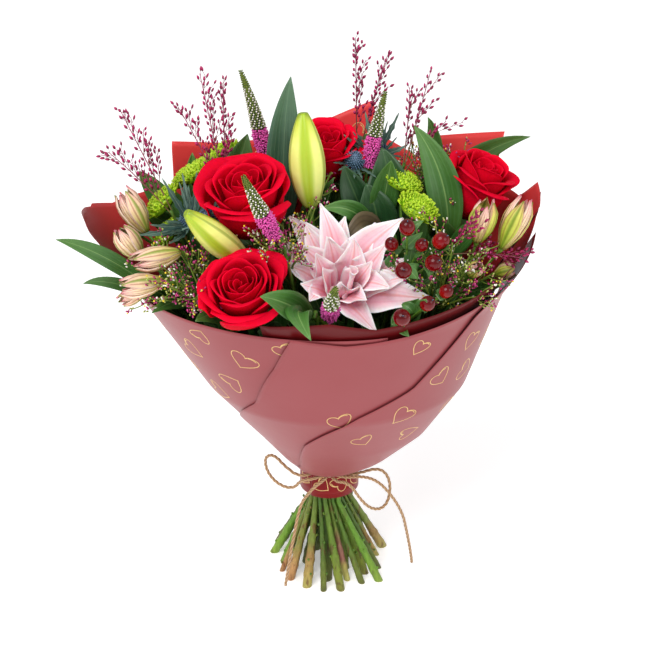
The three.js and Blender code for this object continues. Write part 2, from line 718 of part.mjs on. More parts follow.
// rolled middle of the bloom with a spiral ridge, on the floor that carries the petals
function roseCore(radius, height) {
  const rows = [[0, 0.2], [0.12, 0.32], [0.45, 0.3], [0.8, 0.3], [0.98, 0.17]];
  return loft(rows.map(([t, r]) => Array.from({ length: 6 }, (_, k) => {
    const angle = (2 * Math.PI * k) / 6 + 1.2 * t;
    const ridge = 1 + (t > 0.2 ? 0.15 * Math.cos(2 * angle) : 0);
    return vec(radius * r * ridge * Math.cos(angle), radius * r * ridge * Math.sin(angle), height * t);
  })));
}

function growRose(key) {
  const { radius, height, spin, layers } = ROSES[key];
  const stem = STEMS[key];
  const name = startNode(`${key}_bloom`, ROSE_COLOR, 0.55);
  const place = standOn(from(stem.head), from(stem.axis), spin);
  addClear(name, () => moved(roseCore(radius, height), place));
  layers.forEach(([count, reach, tall, opening], layer) => {
    const half = (1.26 * Math.PI) / count;
    for (let k = 0; k < count; k++) {
      const centre = (2 * Math.PI * k) / count + 0.9 * layer;
      const foot = radius * (0.2 + 0.07 * layer);
      addClear(name, (attempt) => {
        const pull = 1 - 0.09 * attempt;
        const wide = half * Math.sqrt(pull);
        const petal = rosePetal(radius * reach * pull, height * tall, opening * pull, centre, wide, foot);
        return moved(petal, place);
      }, 6);
    }
  });
}

// calyx below each rose: a hip whose five long lobes spread out
function growCalyx(key) {
  const stem = STEMS[key];
  const place = standOn(from(stem.head), from(stem.axis), 0.4);
  const ring = (lobe, lobeHeight, between, betweenHeight) => Array.from({ length: 10 }, (_, k) => {
    const angle = (Math.PI * k) / 5;
    const [reach, height] = k % 2 ? [between, betweenHeight] : [lobe, lobeHeight];
    return vec(reach * Math.cos(angle), reach * Math.sin(angle), height);
  });
  const hip = loft([ring(3, -10, 3, -10), ring(19, -9, 5.4, -5), ring(5, -0.4, 5, -0.4)]);
  addClear(`${key}_stem`, () => moved(hip, place));
}

// ---------------------------------------------------------------- lily
const LILY_COLOR = 0xeeb0c4;
// rings of petals from the middle outwards: [petals, angle from the axis, length, width, turn]
const LILY_RINGS = [
  [2, 16, 52, 15, 0.2],
  [4, 42, 64, 19, 0.9],
  [5, 72, 68, 22, 0.35],
];

function lilyPetal(opening, length, width, turn, foot) {
  const direction = (v) => rad(opening * (0.55 + 0.75 * v));
  const spine = (v) => {
    const steps = 8;
    let r = foot;
    let z = 3;
    for (let k = 0; k < steps; k++) {
      const along = ((k + 0.5) / steps) * v;
      r += ((length * v) / steps) * Math.sin(direction(along));
      z += ((length * v) / steps) * Math.cos(direction(along));
    }
    return [r, z];
  };
  return blade((u, v) => {
    const [r, z] = spine(v);
    const half = (width / 2) * Math.max(Math.sin(Math.PI * (0.05 + 0.95 * v)) ** 0.8, 0.07);
    const trough = 0.3 * half * u * u;
    const tilt = direction(v);
    const rr = r - trough * Math.cos(tilt);
    const zz = z + trough * Math.sin(tilt);
    return vec(rr, half * u, zz).applyAxisAngle(UP, turn);
  }, 2, 3, 0.8);
}

function growLily() {
  const name = startNode("lily_bloom", LILY_COLOR, 0.5);
  const stem = STEMS.lily;
  const place = standOn(from(stem.head), from(stem.axis), 0.25);
  addClear(name, () => moved(turned([[0, 0], [4.5, 0], [8, 6], [7, 9], [0, 10]], 8), place));
  LILY_RINGS.forEach(([count, opening, length, width, turn], ring) => {
    for (let k = 0; k < count; k++) {
      addClear(name, (attempt) => {
        const angle = turn + (2 * Math.PI * k) / count;
        const closed = opening * (1 - 0.05 * attempt);
        const shorter = length * (1 - 0.07 * attempt);
        return moved(lilyPetal(closed, shorter, width, angle, 2.2 + 1.6 * ring), place);
      }, 7);
    }
  });
}

const LILY_BUDS = {
  lily_bud_upper: {
    foot: [-15, -8, 352], tip: [-21, 2, 429], radius: 14.5, leave: 262, way: [-12, -16, 318],
  },
  lily_bud_left: {
    foot: [-68, -56, 326], tip: [-109, -80, 377], radius: 13.5, leave: 250, way: [-34, -40, 292],
  },
};
const BUD_COLOR = 0xbfd040;
const BUD_PROFILE = [[0, 0.3], [0.2, 0.75], [0.5, 1], [0.82, 0.74], [1, 0.2]];

function lilyBudBody(length, radius) {
  return loft(BUD_PROFILE.map(([t, r]) => Array.from({ length: 9 }, (_, k) => {
    const angle = (2 * Math.PI * k) / 9;
    const lobe = radius * r * (1 + 0.09 * Math.cos(3 * angle));
    return vec(lobe * Math.cos(angle), lobe * Math.sin(angle), length * t);
  })));
}

function growLilyBuds() {
  for (const [name, bud] of Object.entries(LILY_BUDS)) {
    const axis = from(bud.tip).sub(from(bud.foot));
    const place = standOn(from(bud.foot), axis, 0.5);
    startNode(name, BUD_COLOR, 0.45);
    addClear(name, () => moved(lilyBudBody(axis.length(), bud.radius), place));
    const start = stemPoint(STEMS.lily, bud.leave);
    const unit = axis.clone().normalize();
    const end = from(bud.foot).addScaledVector(unit, -SEAT_GAP);
    const neck = from(bud.foot).addScaledVector(unit, -0.6 * NECK_LENGTH);
    const random = dice(bud.leave);
    addClear("lily_stem", (attempt) => {
      const shift = vec(random(-5, 5), random(-5, 5), random(-4, 4)).multiplyScalar(attempt);
      return shoot([...bend(start, from(bud.way).add(shift), neck, 3), end], () => 1.7, 4);
    }, 10);
  }
}

// ---------------------------------------------------------------- alstroemeria
const ALSTROEMERIA_BUDS = {
  alstroemeria_left: [
    [[-149, -18, 334], [-168, -10, 367], 9], [[-152, -42, 322], [-168, -42, 348], 8.5],
    [[-118, -62, 336], [-154, -78, 334], 8.5], [[-130, -78, 318], [-163, -90, 318], 8.5],
    [[-146, -64, 306], [-166, -78, 300], 7],
  ],
  alstroemeria_right: [
    [[118, -42, 336], [125, -42, 371], 9], [[138, -42, 330], [157, -34, 370], 9.5],
    [[134, -40, 306], [150, -42, 312], 7], [[112, -60, 316], [118, -76, 330], 6],
  ],
};

// half open bud with six lobes that close at the tip
function alstroemeriaBud(length, radius) {
  const profile = [[0, 0.3], [0.3, 0.85], [0.68, 1], [1, 0.42]];
  return loft(profile.map(([t, r]) => Array.from({ length: 6 }, (_, k) => {
    const angle = (2 * Math.PI * k) / 6 + 0.3 * t;
    const lobe = radius * r * (k % 2 ? 0.8 : 1);
    return vec(lobe * Math.cos(angle), lobe * Math.sin(angle), length * t);
  })));
}

function growAlstroemeria(name) {
  const random = dice(7);
  ALSTROEMERIA_BUDS[name].forEach(([foot, tip, radius], k) => {
    const axis = from(tip).sub(from(foot));
    const origin = branchFoot(STEMS[name], k);
    addClear(name, (attempt) => {
      const shift = vec(random(-3, 3), random(-3, 3), random(-3, 3)).multiplyScalar(attempt);
      const base = from(foot).add(shift);
      const place = standOn(base, axis, random(0, 6));
      const end = base.clone().addScaledVector(axis, 0.1);
      const stalk = shoot([origin, end], () => 1.1, 3);
      return stalk.add(moved(alstroemeriaBud(axis.length(), radius * (1 - 0.05 * attempt)), place));
    }, 9);
  });
}

// ---------------------------------------------------------------- green chrysanthemums
const CHRYSANTHEMUM_HEADS = {
  chrysanthemum_left: [
    [[-137, 12, 346], 15], [[-136, -2, 322], 12], [[-166, 2, 322], 14],
  ],
  chrysanthemum_rear_left: [[[-108, 34, 364], 15], [[-92, 62, 362], 14], [[-118, 62, 340], 13]],
  chrysanthemum_right: [[[69, -22, 356], 17], [[62, 8, 364], 15]],
  chrysanthemum_back: [[[42, 104, 340], 16], [[74, 92, 336], 15]],
};

// cushion of florets: a dome with every second point raised
function chrysanthemumHead(radius) {
  const rows = [[0.4, -0.3], [1, 0], [0.86, 0.34], [0.4, 0.54]];
  const sides = 8;
  return loft(rows.map(([r, z], row) => Array.from({ length: sides }, (_, k) => {
    const raised = (k + row) % 2 ? 1.1 : 0.86;
    const angle = (2 * Math.PI * (k + 0.35 * row)) / sides;
    const reach = radius * r * raised;
    return vec(reach * Math.cos(angle), reach * Math.sin(angle), radius * (z * raised + 0.34));
  })));
}

function growChrysanthemum(name) {
  const random = dice(11);
  CHRYSANTHEMUM_HEADS[name].forEach(([place, radius], k) => {
    const origin = branchFoot(STEMS[name], k);
    addClear(name, (attempt) => {
      const shift = vec(random(-4, 4), random(-4, 4), random(-4, 4)).multiplyScalar(attempt);
      const centre = from(place).add(shift);
      const outward = centre.clone().sub(vec(0, 0, 220)).normalize();
      const base = centre.clone().addScaledVector(outward, -0.34 * radius);
      const stalk = shoot([origin, centre], () => 1.2, 3);
      const head = chrysanthemumHead(radius * (1 - 0.05 * attempt));
      return stalk.add(moved(head, standOn(base, outward, random(0, 6))));
    }, 9);
  });
}

// ---------------------------------------------------------------- veronica
const VERONICA = {
  veronica_tall: { length: 84, radius: 6.4 },
  veronica_left: { length: 62, radius: 6.2 },
  veronica_right: { length: 64, radius: 6 },
  veronica_front: { length: 52, radius: 6.2 },
};

// spike covered with rows of florets, wide below and pointed above
function veronicaSpike(length, radius) {
  const sides = 6;
  const rows = 7;
  const rings = [];
  for (let row = 0; row <= rows; row++) {
    const t = row / rows;
    const tapering = lerp(1.05, 0.2, Math.max((t - 0.3) / 0.7, 0) ** 1.15);
    const width = radius * (t < 0.3 ? lerp(0.75, 1.05, t / 0.3) : tapering);
    rings.push(Array.from({ length: sides }, (_, k) => {
      const raised = (k + row) % 2 ? 1.14 : 0.8;
      const angle = (2 * Math.PI * k) / sides;
      const bow = 0.05 * length * t * t;
      return vec(width * raised * Math.cos(angle) + bow, width * raised * Math.sin(angle), length * t);
    }));
  }
  return loft(rings);
}

function growVeronica(name) {
  const { length, radius } = VERONICA[name];
  const stem = STEMS[name];
  addClear(name, (attempt) => {
    const axis = from(stem.axis).normalize();
    const base = from(stem.head).addScaledVector(axis, -3);
    const spike = veronicaSpike(length, radius * (1 - 0.08 * attempt));
    return moved(spike, standOn(base, axis, 0.7 * attempt));
  }, 6);
}

// ---------------------------------------------------------------- eryngium
const ERYNGIUM_BRACTS = {
  eryngium_left: [
    [-133, -30, 386], [-107, -8, 383], [-143, -40, 350], [-158, -34, 338], [-128, -50, 338],
    [-92, -42, 362], [-120, 6, 376],
  ],
  eryngium_centre: [
    [30, 52, 412], [58, 50, 412], [66, 40, 388], [12, 36, 398], [20, 66, 392], [44, 24, 396],
  ],
};

function thistleHead(radius) {
  const rows = [[0.5, 0], [1, 0.5], [0.92, 1.1], [0.4, 1.6]];
  return loft(rows.map(([r, z], row) => Array.from({ length: 8 }, (_, k) => {
    const raised = (k + row) % 2 ? 1.1 : 0.85;
    const angle = (2 * Math.PI * k) / 8;
    return vec(radius * r * raised * Math.cos(angle), radius * r * raised * Math.sin(angle), radius * z);
  })));
}

function growEryngium(name) {
  const stem = STEMS[name];
  const axis = from(stem.axis).normalize();
  const base = from(stem.head).addScaledVector(axis, -1.5);
  addClear(name, () => moved(thistleHead(8), standOn(base, axis)));
  const random = dice(5);
  for (const tip of ERYNGIUM_BRACTS[name]) {
    addClear(name, (attempt) => {
      const end = from(tip).add(vec(random(-4, 4), random(-4, 4), random(-4, 4)).multiplyScalar(attempt));
      const start = base.clone().addScaledVector(axis, 3);
      const corner = start.clone().lerp(end, 0.5).addScaledVector(axis, -5);
      return shoot(bend(start, corner, end, 2), (t) => lerp(2.2, 0.4, t), 3);
    }, 6);
  }
}

// ---------------------------------------------------------------- hypericum
const BERRIES = {
  hypericum_upper: [
    [59, -95, 372, 6.2], [86, -85, 356, 6.6], [56, -113, 344, 6.6], [80, -97, 343, 6.6],
    [71, -88, 354, 5.2], [48, -82, 352, 5.4],
  ],
  hypericum_lower: [[75, -117, 318, 6], [55, -127, 311, 6.8], [90, -104, 322, 5.4]],
};

function berryBody(radius) {
  const berry = new THREE.SphereGeometry(radius, 6, 4);
  berry.rotateX(Math.PI / 2);
  berry.scale(1, 1, 1.12);
  return bodyFromGeometry(berry);
}

function growBerries(name) {
  const random = dice(3);
  BERRIES[name].forEach(([x, y, z, radius], k) => {
    const origin = branchFoot(STEMS[name], k);
    addClear(name, (attempt) => {
      const shift = vec(random(-2, 2), random(-2, 2), random(-2, 2)).multiplyScalar(attempt);
      const centre = vec(x, y, z).add(shift);
      const outward = centre.clone().sub(origin).normalize();
      const stalk = shoot([origin, centre], () => 0.9, 3);
      return stalk.add(moved(berryBody(radius * (1 - 0.05 * attempt)), standOn(centre, outward)));
    }, 9);
  });
}

// ---------------------------------------------------------------- panicum
const PANICUM = {
  panicum_far_left: { tips: [[-168, 10, 428], [-178, -4, 398]] },
  panicum_left: { tips: [[-104, 20, 456], [-86, 26, 446], [-122, 14, 430]] },
  panicum_centre: { tips: [[21, 40, 479], [47, 50, 460]] },
  panicum_right: { tips: [[83, 40, 453], [66, 44, 436], [96, 30, 412]] },
  panicum_far_right: { tips: [[156, -44, 322], [110, -62, 362]] },
};

// strand with grains: the radius swells at every second point
function grainStrand(points, grain) {
  const radiusAt = (t) => (Math.round(t * (points.length - 1)) % 2 ? grain : 0.45);
  return shoot(points, radiusAt, 3);
}

function growPanicum(name) {
  const origin = from(STEMS[name].head);
  const axis = from(STEMS[name].axis).normalize();
  const random = dice(17);
  PANICUM[name].tips.forEach((tip, k) => {
    const start = branchFoot(STEMS[name], k);
    const corner = origin.clone().lerp(from(tip), 0.45).addScaledVector(axis, 8);
    const grown = addClear(name, (attempt) => {
      const shift = vec(random(-4, 4), random(-4, 4), random(-3, 3)).multiplyScalar(attempt);
      return grainStrand(bend(start, corner.clone().add(shift), from(tip).add(shift), 6), 1);
    }, 8);
    if (grown) growSideStrand(name, start, corner, from(tip), random);
  });
}

function growSideStrand(name, start, corner, tip, random) {
  const share = 0.6;
  const spine = new THREE.QuadraticBezierCurve3(start, corner, tip);
  const foot = spine.getPoint(share);
  const along = spine.getTangent(share);
  addClear(name, () => {
    const out = vec(random(-1, 1), random(-1, 1), random(-0.2, 0.8)).normalize();
    const reach = random(9, 15);
    const side = foot.clone().addScaledVector(out, 0.6 * reach);
    const end = foot.clone().addScaledVector(out, reach).addScaledVector(along, reach);
    return grainStrand(bend(foot, side, end, 3), 1.05);
  }, 5);
}

// ---------------------------------------------------------------- limonium
const LIMONIUM = {
  limonium_left: { tips: [[-128, -94, 322], [-104, -108, 318], [-148, -88, 300]] },
  limonium_centre: { tips: [[-46, -84, 352], [-58, -66, 352]] },
  limonium_right: { tips: [[108, -78, 330], [128, -66, 318], [118, -86, 308]] },
  limonium_rear_right: { tips: [[76, 44, 368], [82, 54, 370]] },
};

// branch with florets: it swells at every second point and ends in the largest floret
function floretBranch(points) {
  const last = points.length - 1;
  const radiusAt = (t) => (Math.round(t * last) % 2 ? lerp(1.4, 3.2, t) : 0.7);
  return shoot(points, radiusAt, 4);
}

function growLimonium(name) {
  const origin = from(STEMS[name].head);
  const axis = from(STEMS[name].axis).normalize();
  const random = dice(23);
  LIMONIUM[name].tips.forEach((tip, k) => {
    const start = branchFoot(STEMS[name], k);
    const corner = origin.clone().lerp(from(tip), 0.5).addScaledVector(axis, 6);
    addClear(name, (attempt) => {
      const shift = vec(random(-3, 3), random(-3, 3), random(-3, 3)).multiplyScalar(attempt);
      return floretBranch(bend(start, corner, from(tip).add(shift), 5));
    }, 8);
  });
}

// ---------------------------------------------------------------- growing everything, big pieces first
growLilyBuds();
Object.keys(ROSES).forEach(growRose);
growLily();
Object.keys(ALSTROEMERIA_BUDS).forEach(growAlstroemeria);
Object.keys(CHRYSANTHEMUM_HEADS).forEach(growChrysanthemum);
Object.keys(VERONICA).forEach(growVeronica);
Object.keys(BERRIES).forEach(growBerries);
Object.keys(ERYNGIUM_BRACTS).forEach(growEryngium);
Object.keys(LEAVES).forEach(growLeaves);
Object.keys(ROSES).forEach(growCalyx);
Object.keys(PANICUM).forEach(growPanicum);
Object.keys(LIMONIUM).forEach(growLimonium);

// ---------------------------------------------------------------- meshes
const NODE_COLORS = [
  [/^chrysanthemum/, 0x8fc428], [/^veronica/, 0xb0508a], [/^eryngium/, 0x5c7a7a],
  [/^hypericum/, 0x8a1a1c], [/^panicum/, 0xa02860], [/^limonium/, 0x9a7a86],
  [/^alstroemeria/, 0xe0c8a0], [/^foliage/, LEAF_COLOR],
];

// one closed body from a node's pieces, without loose scraps or sealed hollows
function joined(solids) {
  const whole = wasm.Manifold.union(solids).simplify(0.004);
  const parts = whole.decompose();
  return parts.reduce((best, part) => (part.volume() > best.volume() ? part : best));
}

function meshOf(name, { solids, material }) {
  const { vertProperties, triVerts, numProp } = joined(solids).getMesh();
  const geometry = new THREE.BufferGeometry();
  geometry.setAttribute("position", new THREE.BufferAttribute(vertProperties, numProp));
  geometry.setIndex(new THREE.BufferAttribute(triVerts, 1));
  const tint = NODE_COLORS.find(([pattern]) => pattern.test(name));
  const color = tint ? tint[1] : material.color;
  const mesh = new THREE.Mesh(geometry, new THREE.MeshStandardMaterial({ ...material, color }));
  mesh.name = name;
  return mesh;
}

const bouquet = new THREE.Group();
bouquet.name = "mixed_flower_bouquet";
for (const [name, node] of nodes) bouquet.add(meshOf(name, node));
bouquet.userData.noRoom = noRoom;

export default bouquet;
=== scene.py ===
import math
import random

import bpy
from mathutils import Matrix, Vector


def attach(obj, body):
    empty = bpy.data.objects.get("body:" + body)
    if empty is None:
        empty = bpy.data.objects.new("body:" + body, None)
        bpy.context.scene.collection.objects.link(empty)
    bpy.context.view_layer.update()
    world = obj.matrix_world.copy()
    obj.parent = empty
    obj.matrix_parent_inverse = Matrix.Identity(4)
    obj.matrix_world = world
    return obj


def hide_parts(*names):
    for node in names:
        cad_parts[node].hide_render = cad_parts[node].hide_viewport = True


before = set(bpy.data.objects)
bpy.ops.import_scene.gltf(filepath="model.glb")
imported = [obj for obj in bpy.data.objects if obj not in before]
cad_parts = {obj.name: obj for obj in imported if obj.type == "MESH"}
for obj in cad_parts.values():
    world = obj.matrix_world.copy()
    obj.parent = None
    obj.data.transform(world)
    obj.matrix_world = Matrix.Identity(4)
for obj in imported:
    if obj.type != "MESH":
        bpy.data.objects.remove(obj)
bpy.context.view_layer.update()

MM = 0.001
UP = Vector((0, 0, 1))
TAU = 2 * math.pi


# ------------------------------------------------------------------ camera, light and floor
def rgb(red, green, blue):
    """Linear colour of an sRGB colour given from 0 to 255."""
    return tuple((c / 255) ** 2.2 for c in (red, green, blue)) + (1,)


# the camera looks down at the bouquet as the photograph does, lengths in millimetres
CAMERA_TILT = math.radians(27)
CAMERA_DISTANCE = 1400
CAMERA_AIM = (-5.5, 0, 242)
LENS, SENSOR = 91.93, 36
PICTURE_SIDE = 645  # pixels


def add_camera():
    data = bpy.data.cameras.new("camera")
    data.sensor_width = SENSOR
    data.lens = LENS
    data.clip_start = 0.05
    camera = bpy.data.objects.new("camera", data)
    back = Vector((0, -math.cos(CAMERA_TILT), math.sin(CAMERA_TILT))) * CAMERA_DISTANCE
    camera.location = (Vector(CAMERA_AIM) + back) * MM
    camera.rotation_euler = (math.pi / 2 - CAMERA_TILT, 0, 0)
    bpy.context.scene.collection.objects.link(camera)
    bpy.context.scene.camera = camera


def seen_at(across, down, depth):
    """Place at a depth along Y, in millimetres, that shows at a pixel of the photograph."""
    cosine, sine = math.cos(CAMERA_TILT), math.sin(CAMERA_TILT)
    scale = LENS / SENSOR * PICTURE_SIDE
    right, up = (across - PICTURE_SIDE / 2) / scale, (PICTURE_SIDE / 2 - down) / scale
    reach = (depth + CAMERA_DISTANCE * cosine) / (cosine + up * sine)
    x = CAMERA_AIM[0] + reach * right
    z = CAMERA_AIM[2] + CAMERA_DISTANCE * sine + reach * (up * cosine - sine)
    return Vector((round(x), depth, round(z)))


def add_area(name, place, size, power):
    data = bpy.data.lights.new(name, "AREA")
    data.shape = "DISK"
    data.size = size
    data.energy = power
    light = bpy.data.objects.new(name, data)
    light.location = place
    aim = Vector((0, 0, 0.25)) - Vector(place)
    light.rotation_euler = aim.to_track_quat("-Z", "Y").to_euler()
    bpy.context.scene.collection.objects.link(light)


def add_studio():
    scene = bpy.context.scene
    scene.view_settings.view_transform = "Standard"
    world = bpy.data.worlds.new("studio")
    world.use_nodes = True
    background = world.node_tree.nodes["Background"]
    background.inputs["Color"].default_value = (1, 1, 1, 1)
    background.inputs["Strength"].default_value = 0.6
    scene.world = world
    add_area("key", (-0.9, -1.3, 2.1), size=1.7, power=40)
    add_area("fill", (1.5, -1.2, 1.2), size=1.4, power=11)
    mesh = bpy.data.meshes.new("floor")
    far = 6.0
    mesh.from_pydata([(-far, -far, 0), (far, -far, 0), (far, far, 0), (-far, far, 0)], [], [(0, 1, 2, 3)])
    floor = bpy.data.objects.new("floor", mesh)
    material = bpy.data.materials.new("floor")
    material.use_nodes = True
    shader = material.node_tree.nodes["Principled BSDF"]
    shader.inputs["Base Color"].default_value = (0.97, 0.97, 0.97, 1)
    shader.inputs["Roughness"].default_value = 0.8
    shader.inputs["Emission Color"].default_value = (1, 1, 1, 1)
    shader.inputs["Emission Strength"].default_value = 0.37
    mesh.materials.append(material)
    scene.collection.objects.link(floor)


add_camera()
add_studio()


# ------------------------------------------------------------------ small helpers
def lerp(a, b, t):
    return a + (b - a) * t


def clamp(x, low=0.0, high=1.0):
    return max(low, min(high, x))


def smooth(t):
    t = clamp(t)
    return t * t * (3 - 2 * t)


def table(rows, key):
    """Value at a key, straight between the rows [(key, value), ...]."""
    if key <= rows[0][0]:
        return rows[0][1]
    for (x0, y0), (x1, y1) in zip(rows, rows[1:]):
        if key <= x1:
            return lerp(y0, y1, (key - x0) / (x1 - x0))
    return rows[-1][1]


def bezier(a, corner, b, count):
    a, corner, b = Vector(a), Vector(corner), Vector(b)
    steps = [k / count for k in range(count + 1)]
    return [a * (1 - t) ** 2 + corner * 2 * t * (1 - t) + b * t * t for t in steps]


def catmull(points, per):
    """Smooth line through points, with per steps from each to the next."""
    points = [Vector(p) for p in points]
    ends = [2 * points[0] - points[1], *points, 2 * points[-1] - points[-2]]
    line = []
    for k in range(1, len(ends) - 2):
        p0, p1, p2, p3 = ends[k - 1 : k + 3]
        for s in range(per):
            t = s / per
            line.append(0.5 * (2 * p1 + (p2 - p0) * t + (2 * p0 - 5 * p1 + 4 * p2 - p3) * t * t
                               + (3 * p1 - p0 - 3 * p2 + p3) * t ** 3))
    return line + [points[-1]]


def along_spine(spine, v, face):
    """Point of a spine at v, with the directions across a blade that looks along face and out of it."""
    last = len(spine) - 1
    k = round(v * last)
    run = (spine[min(k + 1, last)] - spine[max(k - 1, 0)]).normalized()
    across = run.cross(face).normalized()
    return spine[k], across, across.cross(run)


def on_ball(slope, turn):
    """Direction by its angle from +Z and its angle round it."""
    return Vector((math.sin(slope) * math.cos(turn), math.sin(slope) * math.sin(turn), math.cos(slope)))


def square_to(direction, run):
    """Unit direction across run, near the one given."""
    return (direction - run * direction.dot(run)).normalized()


def stand_on(base, axis, spin=0.0):
    """Matrix that stands a shape built along +Z on base, along axis, turned by spin."""
    turn = UP.rotation_difference(Vector(axis).normalized())
    return Matrix.Translation(Vector(base)) @ turn.to_matrix().to_4x4() @ Matrix.Rotation(spin, 4, "Z")


def scattered(dice, reach):
    return Vector((dice.uniform(-reach, reach), dice.uniform(-reach, reach), dice.uniform(-reach, reach)))


# ------------------------------------------------------------------ materials
MATERIALS = {}


class Shader:
    """A principled material, with short calls for its nodes."""

    def __init__(self, name, **sockets):
        self.material = bpy.data.materials.new(name)
        self.material.use_nodes = True
        self.tree = self.material.node_tree
        self.shader = self.tree.nodes["Principled BSDF"]
        for key, value in sockets.items():
            self.shader.inputs[key.replace("_", " ")].default_value = value
        MATERIALS[name] = self.material

    def node(self, kind, inputs, output=0, **settings):
        made = self.tree.nodes.new(kind)
        for key, value in settings.items():
            setattr(made, key, value)
        for key, value in inputs.items():
            socket = made.inputs[key]
            if isinstance(value, bpy.types.NodeSocket):
                self.tree.links.new(value, socket)
            else:
                socket.default_value = value
        return made.outputs[output]

    def math(self, operation, a, b=0.0, c=0.0, clamped=False):
        return self.node("ShaderNodeMath", {0: a, 1: b, 2: c}, operation=operation, use_clamp=clamped)

    def mix(self, share, a, b, blend="MIX"):
        factor, color_a, color_b, result = 0, 6, 7, 2
        return self.node("ShaderNodeMix", {factor: share, color_a: a, color_b: b}, result, data_type="RGBA",
                         blend_type=blend)

    def ramp(self, value, stops):
        made = self.tree.nodes.new("ShaderNodeValToRGB")
        elements = made.color_ramp.elements
        while len(elements) < len(stops):
            elements.new(0.5)
        for element, (place, color) in zip(elements, stops):
            element.position = place
            element.color = color
        self.tree.links.new(value, made.inputs[0])
        return made.outputs[0]

    def step(self, value, low, high):
        """0 below low, 1 above high, smooth between."""
        return self.node("ShaderNodeMapRange", {"Value": value, "From Min": low, "From Max": high},
                         interpolation_type="SMOOTHSTEP")

    def noise(self, scale, detail=3.0, stretch=None):
        place = self.node("ShaderNodeTexCoord", {}, output=3)
        if stretch:
            place = self.node("ShaderNodeMapping", {"Vector": place, "Scale": stretch})
        return self.node("ShaderNodeTexNoise", {"Vector": place, "Scale": scale, "Detail": detail})

    def grain(self):
        """Place on the piece: across, along and the piece's own tone, each from 0 to 1."""
        color = self.node("ShaderNodeAttribute", {}, attribute_name="grain")
        split = self.tree.nodes.new("ShaderNodeSeparateColor")
        self.tree.links.new(color, split.inputs[0])
        return split.outputs

    def bump(self, height, strength, distance):
        normal = self.node("ShaderNodeBump", {"Height": height, "Strength": strength, "Distance": distance})
        self.tree.links.new(normal, self.shader.inputs["Normal"])

    def color(self, socket):
        self.tree.links.new(socket, self.shader.inputs["Base Color"])


def plant(name, along, rib=None, edge=None, stripes=None, marks=None, speckle=(900, 0.12), tone=(0.8, 1.12),
          bump=(0.3, 0.0003), stretch=None, **sockets):
    """Skin of a plant. along = [(share of the length, colour), ...] from foot to tip, and where given
    rib = (colour, width, share), edge = (colour, width, share), stripes = (count, colour, share),
    marks = (colour, scale, share). Colours are sRGB from 0 to 255."""
    s = Shader(name, **sockets)
    across, run, own = s.grain()
    color = s.ramp(run, [(at, rgb(*shade)) for at, shade in along])
    middle = s.math("MULTIPLY", s.math("ABSOLUTE", s.math("SUBTRACT", across, 0.5)), 2.0)
    patch = s.noise(speckle[0], 4.0, stretch)
    height = patch

    def lay(where, share, over):
        return s.mix(s.math("MULTIPLY", where, share), color, rgb(*over))

    if marks:
        mark_color, scale, share = marks
        color = lay(s.step(s.noise(scale, 5.0, stretch), 0.54, 0.66), share, mark_color)
    if stripes:
        count, stripe_color, share = stripes
        wobble = s.math("MULTIPLY_ADD", patch, 0.03, across)
        lines = s.step(s.math("SINE", s.math("MULTIPLY", wobble, count * TAU)), 0.0, 1.0)
        color = lay(lines, share, stripe_color)
        height = s.math("MULTIPLY_ADD", lines, 0.6, patch)
    if rib:
        rib_color, width, share = rib
        color = lay(s.math("SUBTRACT", 1.0, s.step(middle, 0.0, width)), share, rib_color)
    if edge:
        edge_color, width, share = edge
        color = lay(s.step(middle, 1 - width, 1.0), share, edge_color)
    low, high = tone
    shade = s.math("MULTIPLY_ADD", own, high - low, low)
    spots = s.math("MULTIPLY_ADD", patch, 2 * speckle[1], 1 - speckle[1])
    shade = s.math("MULTIPLY", shade, spots)
    grey = s.node("ShaderNodeCombineColor", {0: shade, 1: shade, 2: shade})
    s.color(s.mix(1.0, color, grey, "MULTIPLY"))
    s.bump(height, *bump)


def one(*color):
    return [(0, color), (1, color)]


